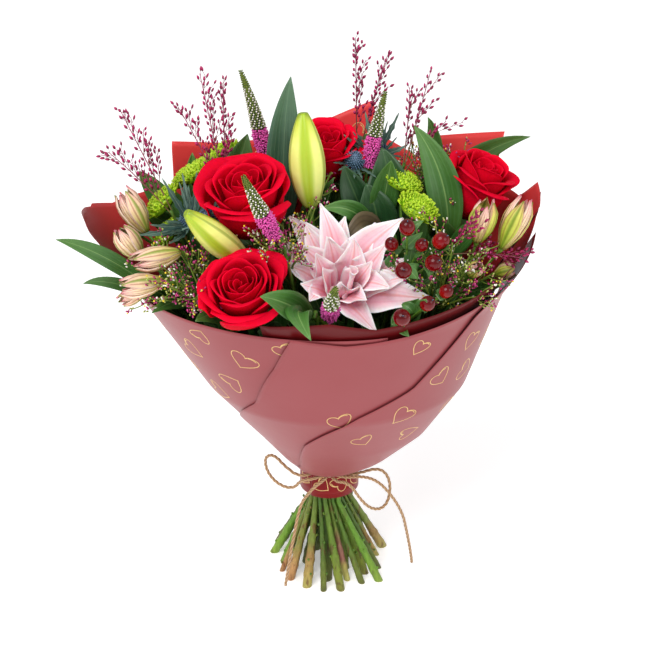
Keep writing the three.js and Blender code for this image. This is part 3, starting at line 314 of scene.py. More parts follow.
def add_plant_materials():
    # painted shade: the petals are painted darkest at their foot, deep between the other petals
    plant("rose_petal", [(0, (110, 0, 12)), (0.4, (212, 3, 34)), (1, (234, 9, 50))],
          speckle=(260, 0.14), tone=(0.8, 1.08), bump=(0.3, 0.0004), Roughness=0.7,
          Specular_IOR_Level=0.06, Subsurface_Weight=0.2, Subsurface_Scale=0.003)
    plant("lily_petal", [(0, (206, 190, 120)), (0.14, (222, 120, 148)), (0.45, (241, 168, 186)),
                         (0.8, (248, 206, 214)), (1, (253, 244, 244))],
          rib=((232, 136, 130), 0.14, 0.55), edge=((254, 246, 247), 0.62, 0.95),
          stripes=(6, (228, 130, 156), 0.22), speckle=(420, 0.08), tone=(0.95, 1.1), bump=(0.35, 0.0005),
          Roughness=0.5, Specular_IOR_Level=0.25, Subsurface_Weight=0.18, Subsurface_Scale=0.003)
    plant("cream_petal", [(0, (150, 150, 60)), (0.25, (216, 196, 120)), (0.65, (238, 208, 168)),
                          (0.88, (244, 196, 180)), (1, (214, 110, 130))],
          stripes=(5, (150, 60, 70), 0.5), edge=((250, 222, 206), 0.24, 0.8),
          speckle=(500, 0.1), tone=(0.9, 1.1), bump=(0.4, 0.0004), Roughness=0.5,
          Subsurface_Weight=0.06, Subsurface_Scale=0.002)
    plant("cream_outer", [(0, (120, 144, 44)), (0.25, (204, 192, 112)), (0.6, (240, 206, 164)),
                          (0.9, (238, 190, 168)), (1, (126, 150, 60))],
          rib=((120, 148, 46), 0.3, 0.85), stripes=(4, (142, 62, 60), 0.55),
          edge=((250, 220, 204), 0.3, 0.9), speckle=(500, 0.14), tone=(0.88, 1.1),
          bump=(0.4, 0.0004), Roughness=0.5, Specular_IOR_Level=0.3)
    plant("green_outer", [(0, (108, 136, 34)), (0.3, (178, 190, 66)), (0.75, (206, 202, 96)),
                          (0.94, (206, 160, 110)), (1, (116, 138, 44))],
          rib=((104, 134, 30), 0.34, 0.85), stripes=(4, (130, 88, 44), 0.5),
          edge=((232, 176, 150), 0.2, 0.8), speckle=(500, 0.14), tone=(0.88, 1.1),
          bump=(0.4, 0.0004), Roughness=0.5, Specular_IOR_Level=0.3)
    plant("lime_floret", [(0, (76, 116, 10)), (0.4, (142, 192, 16)), (1, (202, 232, 56))],
          speckle=(900, 0.1), tone=(0.85, 1.12), Roughness=0.5, Subsurface_Weight=0.08,
          Subsurface_Scale=0.001)
    plant("magenta_floret", [(0, (150, 20, 100)), (0.5, (214, 52, 156)), (1, (242, 112, 192))],
          speckle=(1200, 0.15), tone=(0.75, 1.15), Roughness=0.5)
    plant("white_bud", [(0, (150, 170, 110)), (0.4, (232, 226, 212)), (1, (250, 244, 236))],
          speckle=(1500, 0.08), tone=(0.85, 1.05), Roughness=0.55)
    plant("green_bud", [(0, (22, 40, 14)), (0.5, (58, 82, 24)), (1, (124, 140, 48))],
          speckle=(1500, 0.15), tone=(0.75, 1.1), Roughness=0.6)
    plant("thistle", [(0, (40, 62, 72)), (0.5, (66, 96, 118)), (1, (124, 150, 182))],
          speckle=(1200, 0.2), tone=(0.7, 1.1), Roughness=0.6)
    plant("thistle_leaf", [(0, (58, 88, 96)), (0.6, (66, 98, 86)), (1, (92, 120, 104))],
          rib=((150, 170, 150), 0.16, 0.7), speckle=(900, 0.2), tone=(0.7, 1.1), Roughness=0.55)
    plant("berry", [(0, (200, 92, 36)), (0.34, (160, 28, 22)), (0.62, (112, 4, 18)), (1, (70, 2, 12))],
          speckle=(150, 0.25), tone=(0.8, 1.35), bump=(0.08, 0.0002), Roughness=0.16,
          Specular_IOR_Level=0.3)
    plant("panicle", [(0, (100, 4, 46)), (0.5, (156, 10, 78)), (1, (196, 38, 114))],
          speckle=(1400, 0.2), tone=(0.7, 1.15), Roughness=0.55)
    plant("panicle_stalk", [(0, (128, 120, 60)), (0.5, (150, 60, 90)), (1, (160, 50, 100))],
          speckle=(900, 0.15), Roughness=0.55)
    plant("filler_floret", [(0, (90, 20, 50)), (0.5, (158, 24, 88)), (1, (206, 70, 140))],
          speckle=(1400, 0.2), tone=(0.7, 1.15), Roughness=0.6)
    plant("filler_stalk", one(120, 146, 52), speckle=(600, 0.2), tone=(0.7, 1.1), Roughness=0.6)
    plant("filler_sprig", [(0, (86, 110, 36)), (0.6, (150, 164, 70)), (1, (206, 200, 130))],
          speckle=(1400, 0.2), tone=(0.7, 1.15), Roughness=0.6)
    plant("yellow_dot", one(240, 206, 40), speckle=(900, 0.1), Roughness=0.5)
    veins = dict(bump=(0.35, 0.0004), Roughness=0.42)
    plant("leaf", [(0, (72, 108, 40)), (0.5, (60, 104, 44)), (1, (84, 126, 56))],
          rib=((134, 168, 98), 0.07, 0.75), stripes=(7, (80, 124, 68), 0.35), speckle=(160, 0.18),
          tone=(0.72, 1.2), **veins)
    plant("leaf_under", [(0, (96, 128, 70)), (1, (100, 134, 84))], rib=((140, 166, 110), 0.08, 0.8),
          stripes=(7, (84, 116, 70), 0.4), speckle=(160, 0.15), tone=(0.75, 1.15), **veins)
    # leaves painted darker than the others: partly a deeper green, partly painted shade for the leaves deep
    # in the middle of the bouquet
    plant("dark_leaf", [(0, (42, 76, 36)), (0.5, (36, 72, 40)), (1, (50, 86, 46))],
          rib=((84, 116, 66), 0.07, 0.7), stripes=(7, (48, 84, 48), 0.35), speckle=(160, 0.2),
          tone=(0.75, 1.15), **veins)
    plant("brown_leaf", [(0, (96, 84, 62)), (1, (112, 96, 74))], rib=((130, 120, 90), 0.07, 0.6),
          stripes=(6, (84, 72, 54), 0.5), speckle=(160, 0.2), tone=(0.8, 1.15), **veins)
    plant("blue_leaf", [(0, (52, 84, 58)), (0.6, (58, 92, 72)), (1, (84, 116, 84))],
          rib=((110, 140, 110), 0.06, 0.6), stripes=(9, (84, 114, 90), 0.4), speckle=(160, 0.16),
          tone=(0.8, 1.15), **veins)
    stem = dict(speckle=(420, 0.5), stretch=(1, 1, 0.22), tone=(0.72, 1.12), bump=(1.0, 0.0009),
                Roughness=0.5, Specular_IOR_Level=0.35)
    scar = (92, 66, 40)
    plant("stem_bright", [(0, (196, 206, 140)), (0.006, (126, 152, 58)), (0.12, (112, 148, 50)),
                          (0.3, (98, 140, 46)), (1, (92, 136, 44))],
          marks=((96, 104, 44), 200, 0.5), **stem)
    plant("stem_dark", [(0, (150, 150, 96)), (0.006, (90, 96, 42)), (0.08, (102, 114, 46)),
                        (0.3, (82, 108, 40)), (1, (76, 116, 44))], marks=(scar, 240, 0.7), **stem)
    plant("stem_olive", [(0, (170, 162, 104)), (0.006, (122, 122, 52)), (0.1, (128, 140, 52)),
                         (0.3, (106, 134, 46)), (1, (84, 124, 44))], marks=(scar, 260, 0.75), **stem)
    plant("stem_rust", [(0, (196, 150, 110)), (0.006, (156, 112, 70)), (0.1, (168, 128, 82)),
                        (0.3, (120, 122, 56)), (1, (80, 120, 44))], marks=((112, 62, 42), 260, 0.7), **stem)
    plant("stem_yellow", [(0, (196, 180, 120)), (0.006, (156, 148, 78)), (0.1, (160, 138, 76)),
                          (0.24, (146, 116, 68)), (0.35, (112, 126, 54)), (1, (80, 120, 44))],
          marks=((104, 66, 42), 240, 0.7), **stem)
    plant("stem_pink", [(0, (206, 180, 120)), (0.006, (170, 168, 92)), (0.13, (164, 150, 84)),
                        (0.18, (150, 96, 86)), (0.3, (154, 112, 92)), (0.45, (110, 130, 56)),
                        (1, (80, 120, 44))], marks=((112, 70, 52), 220, 0.6), **stem)


def add_paper_materials():
    # the third colour is the same paper painted dark crimson, as painted shade, for the outer face of the
    # inner right sheet
    for name, body, patches in (("paper_outside", (137, 56, 60), (148, 72, 76)),
                                ("paper_collar", (118, 8, 14), (136, 16, 22)),
                                ("paper_band", (84, 6, 12), (96, 12, 18)),
                                ("paper_inside", (104, 10, 18), (118, 16, 24))):
        shine = 0.36 if name == "paper_outside" else 0.18
        s = Shader(name, Sheen_Weight=0.05, Sheen_Roughness=0.4, Specular_IOR_Level=shine)
        broad = s.noise(14, 2.0)
        fibre = s.noise(1500, 3.0)
        color = s.mix(broad, rgb(*body), rgb(*patches))
        # painted light: the inner faces are painted dark crimson towards the front, as painted shade, and
        # light red towards the back, as painted light
        if name == "paper_inside":
            place = s.node("ShaderNodeTexCoord", {}, output=3)
            depth = s.node("ShaderNodeSeparateXYZ", {"Vector": place}, output=1)
            color = s.mix(s.step(depth, -0.06, 0.09), color, rgb(222, 66, 66))
        s.color(color)
        rough = s.math("MULTIPLY_ADD", fibre, 0.12, 0.33)
        s.tree.links.new(rough, s.shader.inputs["Roughness"])
        creases = s.noise(45, 4.0)
        height = s.math("MULTIPLY_ADD", creases, 0.7, s.math("MULTIPLY", fibre, 0.05))
        s.bump(height, strength=0.25, distance=0.0012)
    s = Shader("gold_print", Roughness=0.35, Metallic=0.35)
    s.color(s.mix(s.noise(600), rgb(206, 164, 96), rgb(238, 204, 140)))


def add_twine_material():
    s = Shader("jute", Roughness=0.85, Sheen_Weight=0.3)
    own = s.grain()[2]
    fibre = s.noise(2600, 5.0)
    # the jute is painted darker in the grooves between the plies, as painted shade, with fibre noise over it
    fibre_and_groove_shade = s.math("MULTIPLY_ADD", fibre, 0.5, s.math("MULTIPLY", own, 0.45))
    s.color(s.ramp(fibre_and_groove_shade, [(0.1, rgb(104, 74, 46)), (0.45, rgb(168, 130, 90)), (0.85, rgb(208, 172, 132))]))
    s.bump(fibre, strength=0.6, distance=0.0006)


add_plant_materials()
add_paper_materials()
add_twine_material()


# ------------------------------------------------------------------ pieces
class Piece:
    """Gathers the faces of one object, in millimetres."""

    def __init__(self):
        self.points, self.faces, self.skins, self.grains = [], [], [], []

    def add(self, points, faces, skins, grains):
        base = len(self.points)
        self.points.extend(points)
        self.faces.extend(tuple(base + i for i in face) for face in faces)
        self.skins.extend([skins] * len(faces) if isinstance(skins, str) else skins)
        self.grains.extend(grains)

    def build(self, name, nodes):
        mesh = bpy.data.meshes.new(name)
        mesh.from_pydata([p * MM for p in self.points], [], self.faces)
        names = sorted(set(self.skins))
        for skin in names:
            mesh.materials.append(MATERIALS[skin])
        order = {skin: k for k, skin in enumerate(names)}
        mesh.polygons.foreach_set("material_index", [order[skin] for skin in self.skins])
        mesh.polygons.foreach_set("use_smooth", [True] * len(self.faces))
        grain = mesh.attributes.new("grain", "FLOAT_COLOR", "POINT")
        grain.data.foreach_set("color", [x for g in self.grains for x in (*g, 1.0)])
        mesh.update()
        made = bpy.data.objects.new(name, mesh)
        bpy.context.scene.collection.objects.link(made)
        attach(made, "root")
        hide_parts(*nodes)
        return made


def blade(piece, point, across, along, thickness, skin, tone=0.5, place=None, under=None):
    """Thin leaf, petal or sheet over point(u, v), u from -1 to 1 across and v from 0 to 1 along."""
    rows = [[point(2 * i / across - 1, j / along) for i in range(across + 1)] for j in range(along + 1)]
    if place is not None:
        rows = [[place @ p for p in row] for row in rows]
    top, bottom, grains = [], [], []
    for j in range(along + 1):
        for i in range(across + 1):
            du = rows[j][min(i + 1, across)] - rows[j][max(i - 1, 0)]
            dv = rows[min(j + 1, along)][i] - rows[max(j - 1, 0)][i]
            normal = du.cross(dv).normalized()
            border = i in (0, across) or j in (0, along)
            half = thickness / 2 * (0.4 if border else 1)
            top.append(rows[j][i] + normal * half)
            bottom.append(rows[j][i] - normal * half)
            grains.append((i / across, j / along, tone))
    row, back = across + 1, len(top)
    faces, skins = [], []
    for j in range(along):
        for i in range(across):
            a = j * row + i
            faces.append((a, a + 1, a + row + 1, a + row))
            skins.append(skin)
            faces.append((a + back, a + row + back, a + row + 1 + back, a + 1 + back))
            skins.append(under or skin)
    rim = [*range(across), *(j * row + across for j in range(along)),
           *(along * row + i for i in range(across, 0, -1)), *(j * row for j in range(along, 0, -1))]
    for a, b in zip(rim, rim[1:] + rim[:1]):
        faces.append((b, a, a + back, b + back))
        skins.append(skin)
    piece.add(top + bottom, faces, skins, grains + grains)


def ring_faces(count, sides):
    """Side faces between rings of points that follow each other, and the two end faces."""
    walls = []
    for k in range(count - 1):
        for s in range(sides):
            a, b = k * sides + s, k * sides + (s + 1) % sides
            walls.append((a, b, b + sides, a + sides))
    ends = [tuple(range(sides - 1, -1, -1)), tuple((count - 1) * sides + s for s in range(sides))]
    return walls, ends


def shoot(piece, points, radius, sides, skin, tone=0.5, shape=None, flat=False):
    """Tube through points. radius is a number or a function of t, shape(angle, t) its lobes."""
    rings, grains, side = [], [], Vector((1, 0, 0.01))
    last = len(points) - 1
    for k, p in enumerate(points):
        run = (points[min(k + 1, last)] - points[max(k - 1, 0)]).normalized()
        side = (side - run * side.dot(run)).normalized()
        other = run.cross(side)
        t = k / last
        size = radius(t) if callable(radius) else radius
        for s in range(sides):
            angle = TAU * s / sides
            reach = size * (shape(angle, t) if shape else 1)
            q = p + side * reach * math.cos(angle) + other * reach * math.sin(angle)
            if flat and k == 0:
                q = q - run * (q.z / run.z)
            rings.append(q)
            grains.append((s / sides, t, tone))
    walls, ends = ring_faces(len(points), sides)
    piece.add(rings, walls + ends, skin, grains)


def spindle(piece, base, tip, radius, skin, tone=0.5, sides=5, widest=(0.3, 0.7)):
    """Small bud, grain or floret: pointed at both ends."""
    base, tip = Vector(base), Vector(tip)
    run = (tip - base).normalized()
    side = run.orthogonal().normalized()
    other = run.cross(side)
    points, grains = [base], [(0.5, 0.0, tone)]
    for share in widest:
        middle = base.lerp(tip, share)
        for s in range(sides):
            angle = TAU * s / sides
            points.append(middle + (side * math.cos(angle) + other * math.sin(angle)) * radius)
            grains.append((s / sides, share, tone))
    points.append(tip)
    grains.append((0.5, 1.0, tone))
    end = len(points) - 1
    faces = []
    for s in range(sides):
        low, low_next = 1 + s, 1 + (s + 1) % sides
        high, high_next = low + sides, low_next + sides
        faces += [(0, low_next, low), (low, low_next, high_next, high), (end, high, high_next)]
    piece.add(points, faces, skin, grains)


def lathe(piece, profile, sides, skin, place, tone=0.5, lobe=None):
    """Turned body from (height, radius) rows, lobe(angle, t) shapes its section."""
    points, grains, last = [], [], len(profile) - 1
    for k, (height, radius) in enumerate(profile):
        t = k / last
        for s in range(sides):
            angle = TAU * s / sides
            reach = radius * (lobe(angle, t) if lobe else 1)
            points.append(place @ Vector((reach * math.cos(angle), reach * math.sin(angle), height)))
            grains.append((s / sides, t, tone))
    walls, ends = ring_faces(len(profile), sides)
    piece.add(points, ends + walls, skin, grains)


# ------------------------------------------------------------------ twine
TWINE_DIAMETER = 2.8
# each free piece of twine, by places along its middle line
TWINE_ROUTES = {
    "twine_loop_left": [
        (-5.9, -31.78, 113.15), (-14, -32, 111.8), (-21, -33, 109.9), (-29.5, -32.5, 111.4),
        (-39, -28.5, 117.6), (-45, -25, 122.5), (-50.5, -22, 123.5), (-54.8, -20, 119.5),
        (-55.2, -20, 112.5), (-53, -21, 105.5), (-49, -22, 99.5), (-43.5, -23.5, 95),
        (-36.5, -25.8, 93), (-30, -28, 95), (-26, -30, 100.5), (-22, -33.6, 105),
        (-17, -35.4, 107.2), (-11.5, -35, 108.4), (-4.9, -32.65, 109.7)],
    "twine_loop_right": [
        (2.82, -32.9, 107.62), (7.8, -35.2, 105), (12.5, -36.2, 104.8), (17.2, -36, 102.2), (21, -35, 97.3),
        (24.5, -33.6, 90.8), (28.8, -32, 83.5), (33.7, -30.5, 77), (39, -28.8, 72.8), (45, -27, 71.5),
        (50, -25, 74.5), (53, -23, 81), (53.8, -22, 89), (53, -21.8, 97), (50, -22.5, 104.5),
        (45, -24.5, 110), (38, -27, 112), (30, -29.5, 111.2), (21, -31.5, 110.2), (13, -32, 112.2),
        (5.82, -31.4, 113.5)],
    "twine_tail_left": [
        (-2.2, -32.7, 107.6), (-7, -34.3, 103.4), (-12.5, -34.4, 98.6), (-18.5, -34, 90.5), (-23.5, -34, 82),
        (-26.8, -36.5, 71), (-29.3, -41, 60), (-31.6, -45.5, 49), (-33.6, -49, 38), (-35.4, -50.5, 27),
        (-37, -50.8, 16), (-38.4, -50.6, 6)],
    "twine_tail_right": [
        (5.18, -33.32, 110.64), (14, -34.8, 109.3), (22, -35.4, 109.8), (30, -35.7, 109.8),
        (38, -35.5, 107.3), (45, -34.5, 101.7), (51.5, -33, 93.3), (57.5, -31.5, 83.5), (62.5, -29.5, 73),
        (66.3, -26.5, 61),
        (68.8, -22.5, 48), (71, -19, 35.5), (73, -15.5, 23), (74.6, -12.8, 12), (75.6, -11, 3)],
}
PLIES_TO_MM = 0.22  # plies that pass along one side of the twine in a millimetre
TWINE_SIDES = 12


def line_length(points):
    return sum((b - a).length for a, b in zip(points, points[1:]))


def twine(piece, points, diameter=TWINE_DIAMETER):
    """Twisted cord of three plies along points that lie close together, with painted shade between the plies.
    """
    passed = line_length(points) * PLIES_TO_MM
    middle, swell = 0.88, 0.16

    def plies(angle, t):
        return middle + swell * math.cos(3 * (angle - passed * TAU / 3 * t))

    first, last = len(piece.grains), len(points) - 1
    shoot(piece, points, diameter / 2, TWINE_SIDES, "jute", 0.7, plies)
    for k in range(last + 1):
        for s in range(TWINE_SIDES):
            # the grain's third value is low in the grooves between the plies and sets the painted shade there
            lift = (plies(TAU * s / TWINE_SIDES, k / last) - middle + swell) / (2 * swell)
            piece.grains[first + TWINE_SIDES * k + s] = (s / TWINE_SIDES, k / last, lift)


for cord_name, route in TWINE_ROUTES.items():
    line = catmull(route, per=14)
    piece = Piece()
    twine(piece, line)
    made = piece.build(f"{cord_name}_jute", [cord_name])
    line_length(line) * MM


def add_binding():
    """Two turns round the collar and the knot of crossed turns that holds the ends."""
    piece = Piece()
    radius, low = 28.15, 108.5
    count = 260
    ring = [Vector((radius * math.sin(2 * TAU * k / count), -radius * math.cos(2 * TAU * k / count),
                    low + TWINE_DIAMETER * k / count)) for k in range(count + 1)]
    twine(piece, ring)
    middle = Vector((0, -31.5, 111.2))
    for turn, (tall, wide, tilt) in enumerate(((3.6, 3.0, 0.5), (3.4, 3.6, -0.6), (3.0, 4.2, 1.57))):
        loop = []
        for k in range(41):
            angle = TAU * k / 40
            x, z = wide * math.cos(angle), tall * math.sin(angle)
            y = -1.6 * math.sin(angle + turn) * math.cos(2 * angle)
            loop.append(middle + Vector((x * math.cos(tilt) - z * math.sin(tilt) * 0.6, y,
                                         x * math.sin(tilt) * 0.6 + z * math.cos(tilt) * 0.8)))
        twine(piece, loop, 2.4)
    piece.build("twine_binding_jute", ["twine_binding"])


add_binding()

# ------------------------------------------------------------------ wrapping paper
COLLAR_RADIUS = 25.9
PAPER_THICKNESS = 0.45
PAPER_LAYERS = 5
LAYER_PITCH = 1.06
LAYER_GROWTH = 0.01
COLUMN_ANGLE = 18  # degrees
# rows up the paper cone: height, then its reach to the left, to the right, to the front and to the back
PAPER_ROWS = [
    (82, 26.6, 26.6, 26.6, 26.6), (113.5, 25.9, 25.9, 25.9, 25.9), (118, 29.5, 29.5, 29.5, 29.5),
    (112.5, 36, 38, 39.5, 35), (121, 44, 56, 48.5, 42), (150, 67, 88, 70, 62),
    (200, 111, 119, 103, 88), (290, 170, 148, 136, 114), (340, 207, 180, 160, 122),
    (400, 225, 212, 180, 132)]
LIP_ROW = 3
# sheets: layer from the inside out, first and last column, rim as (angle, height), slanting left edge as
# (height, angle), angles in degrees from the front
SHEETS = {
    "wrap_sheet_back_right": dict(layer=0, columns=(5, 11), rim=[
        (90, 344), (104, 355), (110, 338), (126, 342), (130, 383), (151, 370), (154, 350), (167, 368),
        (169, 397), (182, 377), (198, 362)]),
    "wrap_sheet_inner_right": dict(layer=1, columns=(-1, 6), rim=[
        (-15, 302), (0, 308), (14, 299), (45, 307), (75, 320), (90, 335), (100, 350), (108, 340)]),
    "wrap_sheet_back_left": dict(layer=1, columns=(-10, -4), rim=[
        (-180, 366), (-155, 362), (-140, 370), (-137, 332), (-110, 332), (-78, 354), (-72, 336)]),
    "wrap_sheet_left": dict(layer=2, columns=(-6, 1), rim=[(-105, 280), (-84, 288), (-52, 293), (15, 291)]),
    "wrap_sheet_centre": dict(layer=3, columns=(-5, 4),
                              rim=[(-10, 294), (5, 288), (23, 291), (45, 298), (75, 309)],
                              edge=[(138, -84), (150, -75), (190, -47), (215, -30), (260, -17), (293, -10),
                                    (340, -6)]),
    "wrap_sheet_right": dict(layer=4, columns=(-2, 5), rim=[(56, 303), (75, 315), (90, 326)],
                             edge=[(124, -31), (168, -14), (208, 11), (232, 31), (305, 56), (345, 64)]),
}
PAPER_STEPS = 64
PAPER_COLUMNS = 48
USUAL_RIM = 300  # first guess of the rim's height
COLLAR_SHARE = 0.1875  # part of a sheet's length, as v, that lies on the collar


def paper_surface(angle, row):
    k = min(int(row), len(PAPER_ROWS) - 2)
    height, left, right, front, back = (lerp(a, b, row - k) for a, b in zip(PAPER_ROWS[k], PAPER_ROWS[k + 1]))
    sideways = left if math.sin(angle) < 0 else right
    forward = front if math.cos(angle) > 0 else back
    return Vector((sideways * math.sin(angle), -forward * math.cos(angle), height))


def row_at_height(height):
    """Row of a height above the collar's lip, or on the collar itself."""
    if height < PAPER_ROWS[LIP_ROW][0] - 1:
        return clamp((height - PAPER_ROWS[0][0]) / (PAPER_ROWS[1][0] - PAPER_ROWS[0][0]))
    for k in range(LIP_ROW, len(PAPER_ROWS) - 1):
        low, high = PAPER_ROWS[k][0], PAPER_ROWS[k + 1][0]
        if height <= high:
            return k + (height - low) / (high - low)
    return len(PAPER_ROWS) - 1


def inward_from(angle, row):
    """Direction into the bouquet, longer at a fold between rows, so that layers keep their distance there."""
    step, last = 0.01, len(PAPER_ROWS) - 1
    around = paper_surface(angle + step, row) - paper_surface(angle - step, row)

    def normal(low, high):
        return (paper_surface(angle, high) - paper_surface(angle, low)).cross(around).normalized()

    below = normal(max(row - step, 0), max(row, step))
    above = normal(min(row, last - step), min(row + step, last))
    return (below + above) / (1 + below.dot(above))


def paper_point(angle, row, layer, out=0.0):
    """Point of a layer's middle surface, out millimetres further out."""
    point = paper_surface(angle, row)
    pitch = LAYER_PITCH + LAYER_GROWTH * max(math.hypot(point.x, point.y) - COLLAR_RADIUS, 0)
    return point + inward_from(angle, row) * (pitch * (PAPER_LAYERS - 1 - layer) - out)


def sheet_height(rim, angle):
    return table(rim, math.degrees(angle))


def sheet_angles(sheet, height):
    """First and last angle of a sheet at a height, its slanting edge included."""
    first, last = (math.radians(COLUMN_ANGLE * c) for c in sheet["columns"])
    edge = sheet.get("edge")
    if edge and height >= edge[0][0]:
        first = max(first, math.radians(table(edge, height)))
    return first, last


def sheet_point(sheet, u, v):
    """u from -1 to 1 across the sheet, v from 0 at the collar's end to 1 at the rim."""
    share = (u + 1) / 2
    if v <= COLLAR_SHARE:
        first, last = sheet_angles(sheet, 0)
        return paper_point(lerp(first, last, share), LIP_ROW * v / COLLAR_SHARE, sheet["layer"])
    rise = (v - COLLAR_SHARE) / (1 - COLLAR_SHARE)
    height = lerp(PAPER_ROWS[LIP_ROW][0], USUAL_RIM, rise)
    for _ in range(3):
        first, last = sheet_angles(sheet, height)
        angle = lerp(first, last, share)
        height = lerp(PAPER_ROWS[LIP_ROW][0], sheet_height(sheet["rim"], angle), rise)
    return paper_point(angle, row_at_height(height), sheet["layer"])


def sheet_columns(sheet):
    """Places across the sheet, as u: even steps, and the corners of its rim."""
    first, last = (COLUMN_ANGLE * c for c in sheet["columns"])
    angles = {round(lerp(first, last, k / PAPER_COLUMNS), 2) for k in range(PAPER_COLUMNS + 1)}
    if "edge" not in sheet:
        angles |= {float(angle) for angle, _ in sheet["rim"] if first < angle < last}
    return [2 * (angle - first) / (last - first) - 1 for angle in sorted(angles)]


def heart_stroke(size, turn, seed):
    """Simple heart drawn in one stroke whose end curls inside its start, as points in millimetres."""
    points = []
    for k in range(44):
        a = 0.25 + TAU * k / 37
        shrink = 1 - 0.16 * (k / 43) ** 2
        x = 0.95 * math.sin(a) ** 3
        y = 0.8 * math.cos(a) - 0.32 * math.cos(2 * a) - 0.12 * math.cos(3 * a)
        wobble = 1 + 0.08 * math.sin(2 * a + seed)
        points.append((size * x * wobble * shrink, size * y * shrink))
    c, s = math.cos(turn), math.sin(turn)
    return [(x * c - y * s, x * s + y * c) for x, y in points]


def print_heart(piece, sheet, angle, height, turn, size, side=1):
    """Gold heart round a place on the outer face of a sheet, or with side -1 on its inner face."""
    half_line, inner, outer = 0.33, 0.16, 0.32
    angle = math.radians(angle)
    layer = sheet["layer"]

    def at(a, h, out=0.0):
        return paper_point(a, row_at_height(h), layer, out)

    wide = (at(angle + 0.02, height) - at(angle, height)).length / 0.02
    tall = (at(angle, height + 2) - at(angle, height)).length / 2
    line = [(angle + x / wide, height + y / tall) for x, y in heart_stroke(size, turn, angle)]
    for a, h in line:
        first, last = sheet_angles(sheet, h)
        if not first + 0.03 < a < last - 0.03 or h > sheet_height(sheet["rim"], a) - 2:
            return
    points = []
    for k, (a, h) in enumerate(line):
        before, after = line[max(k - 1, 0)], line[min(k + 1, len(line) - 1)]
        da, dh = (after[0] - before[0]) * wide, (after[1] - before[1]) * tall
        step = math.hypot(da, dh)
        sa, sh = -dh / step * half_line / wide, da / step * half_line / tall
        for sign, out in ((-1, inner), (1, inner), (1, outer), (-1, outer)):
            points.append(at(a + sign * sa, h + sign * sh, side * out))
    faces = []
    for k in range(len(line) - 1):
        first = 4 * k
        for s in range(4):
            second = first + (s + 1) % 4
            faces.append((first + s, second, second + 4, first + s + 4)[::side])
    last = len(points) - 4
    faces += [(3, 2, 1, 0)[::side], (last, last + 1, last + 2, last + 3)[::side]]
    piece.add(points, faces, "gold_print", [(0.5, 0.5, 0.5)] * len(points))


# hearts on each sheet: angle, height, turn, size and for the inner face side -1
PRINTS = {
    "wrap_sheet_left": [(-50, 256, 0.9, 11), (-27, 262, -0.6, 12), (-38, 230, 2.2, 11), (-52, 210, 1.2, 11),
                        (-13, 280, 0.4, 9), (-72, 262, 0.5, 11), (-66, 228, -0.8, 11), (-92, 262, 1.4, 10),
                        (-86, 224, 0.3, 10), (-40, 278, 2.6, 9)],
    "wrap_sheet_centre": [(4, 204, 0.3, 11), (30, 277, -0.6, 9), (-58, 96, 1.2, 8)],
    "wrap_sheet_right": [(-14, 95, 0.9, 8), (22, 96, 2.4, 9), (62, 95, 0.4, 8), (15, 176, 0.5, 10),
                         (30, 204, -0.7, 12), (43, 236, 0.6, 11), (55, 264, -0.4, 11),
                         (60, 228, 1.2, 12), (74, 288, 0.3, 11), (72, 250, -0.9, 11), (40, 172, 1.8, 11),
                         (86, 306, 0.8, 10), (84, 272, 0.2, 11), (62, 190, -0.5, 11), (80, 215, 0.9, 11)],
    "wrap_sheet_back_left": [(-150, 342, 0.4, 12, -1), (-164, 352, 1.6, 8, -1), (-120, 260, 0.4, 12),
                             (-150, 280, 1.0, 12), (-135, 220, 0.2, 12), (-165, 230, 2.0, 12)],
    "wrap_sheet_back_right": [(140, 352, 0.4, 10, -1), (172, 366, 1.0, 11, -1), (112, 260, 0.2, 12),
                              (140, 300, 2.0, 12), (165, 250, 0.7, 12), (130, 210, 0.7, 12)],
}


def add_sheet(name, sheet):
    piece = Piece()
    columns = sheet_columns(sheet)
    across = len(columns) - 1

    def point(u, v):
        return sheet_point(sheet, columns[round(across * (u + 1) / 2)], v)

    # the inner right sheet's outer face is painted dark crimson, as painted shade
    outside = "paper_band" if name == "wrap_sheet_inner_right" else "paper_outside"
    blade(piece, point, across, PAPER_STEPS, PAPER_THICKNESS, outside, under="paper_inside")
    collar = 2 * across * round(PAPER_STEPS * COLLAR_SHARE)
    piece.skins[:collar] = ["paper_collar", "paper_inside"] * (collar // 2)
    for heart in PRINTS.get(name, []):
        print_heart(piece, sheet, *heart)
    piece.build(f"{name}_paper", [name])


for sheet_name, sheet_data in SHEETS.items():
    add_sheet(sheet_name, sheet_data)

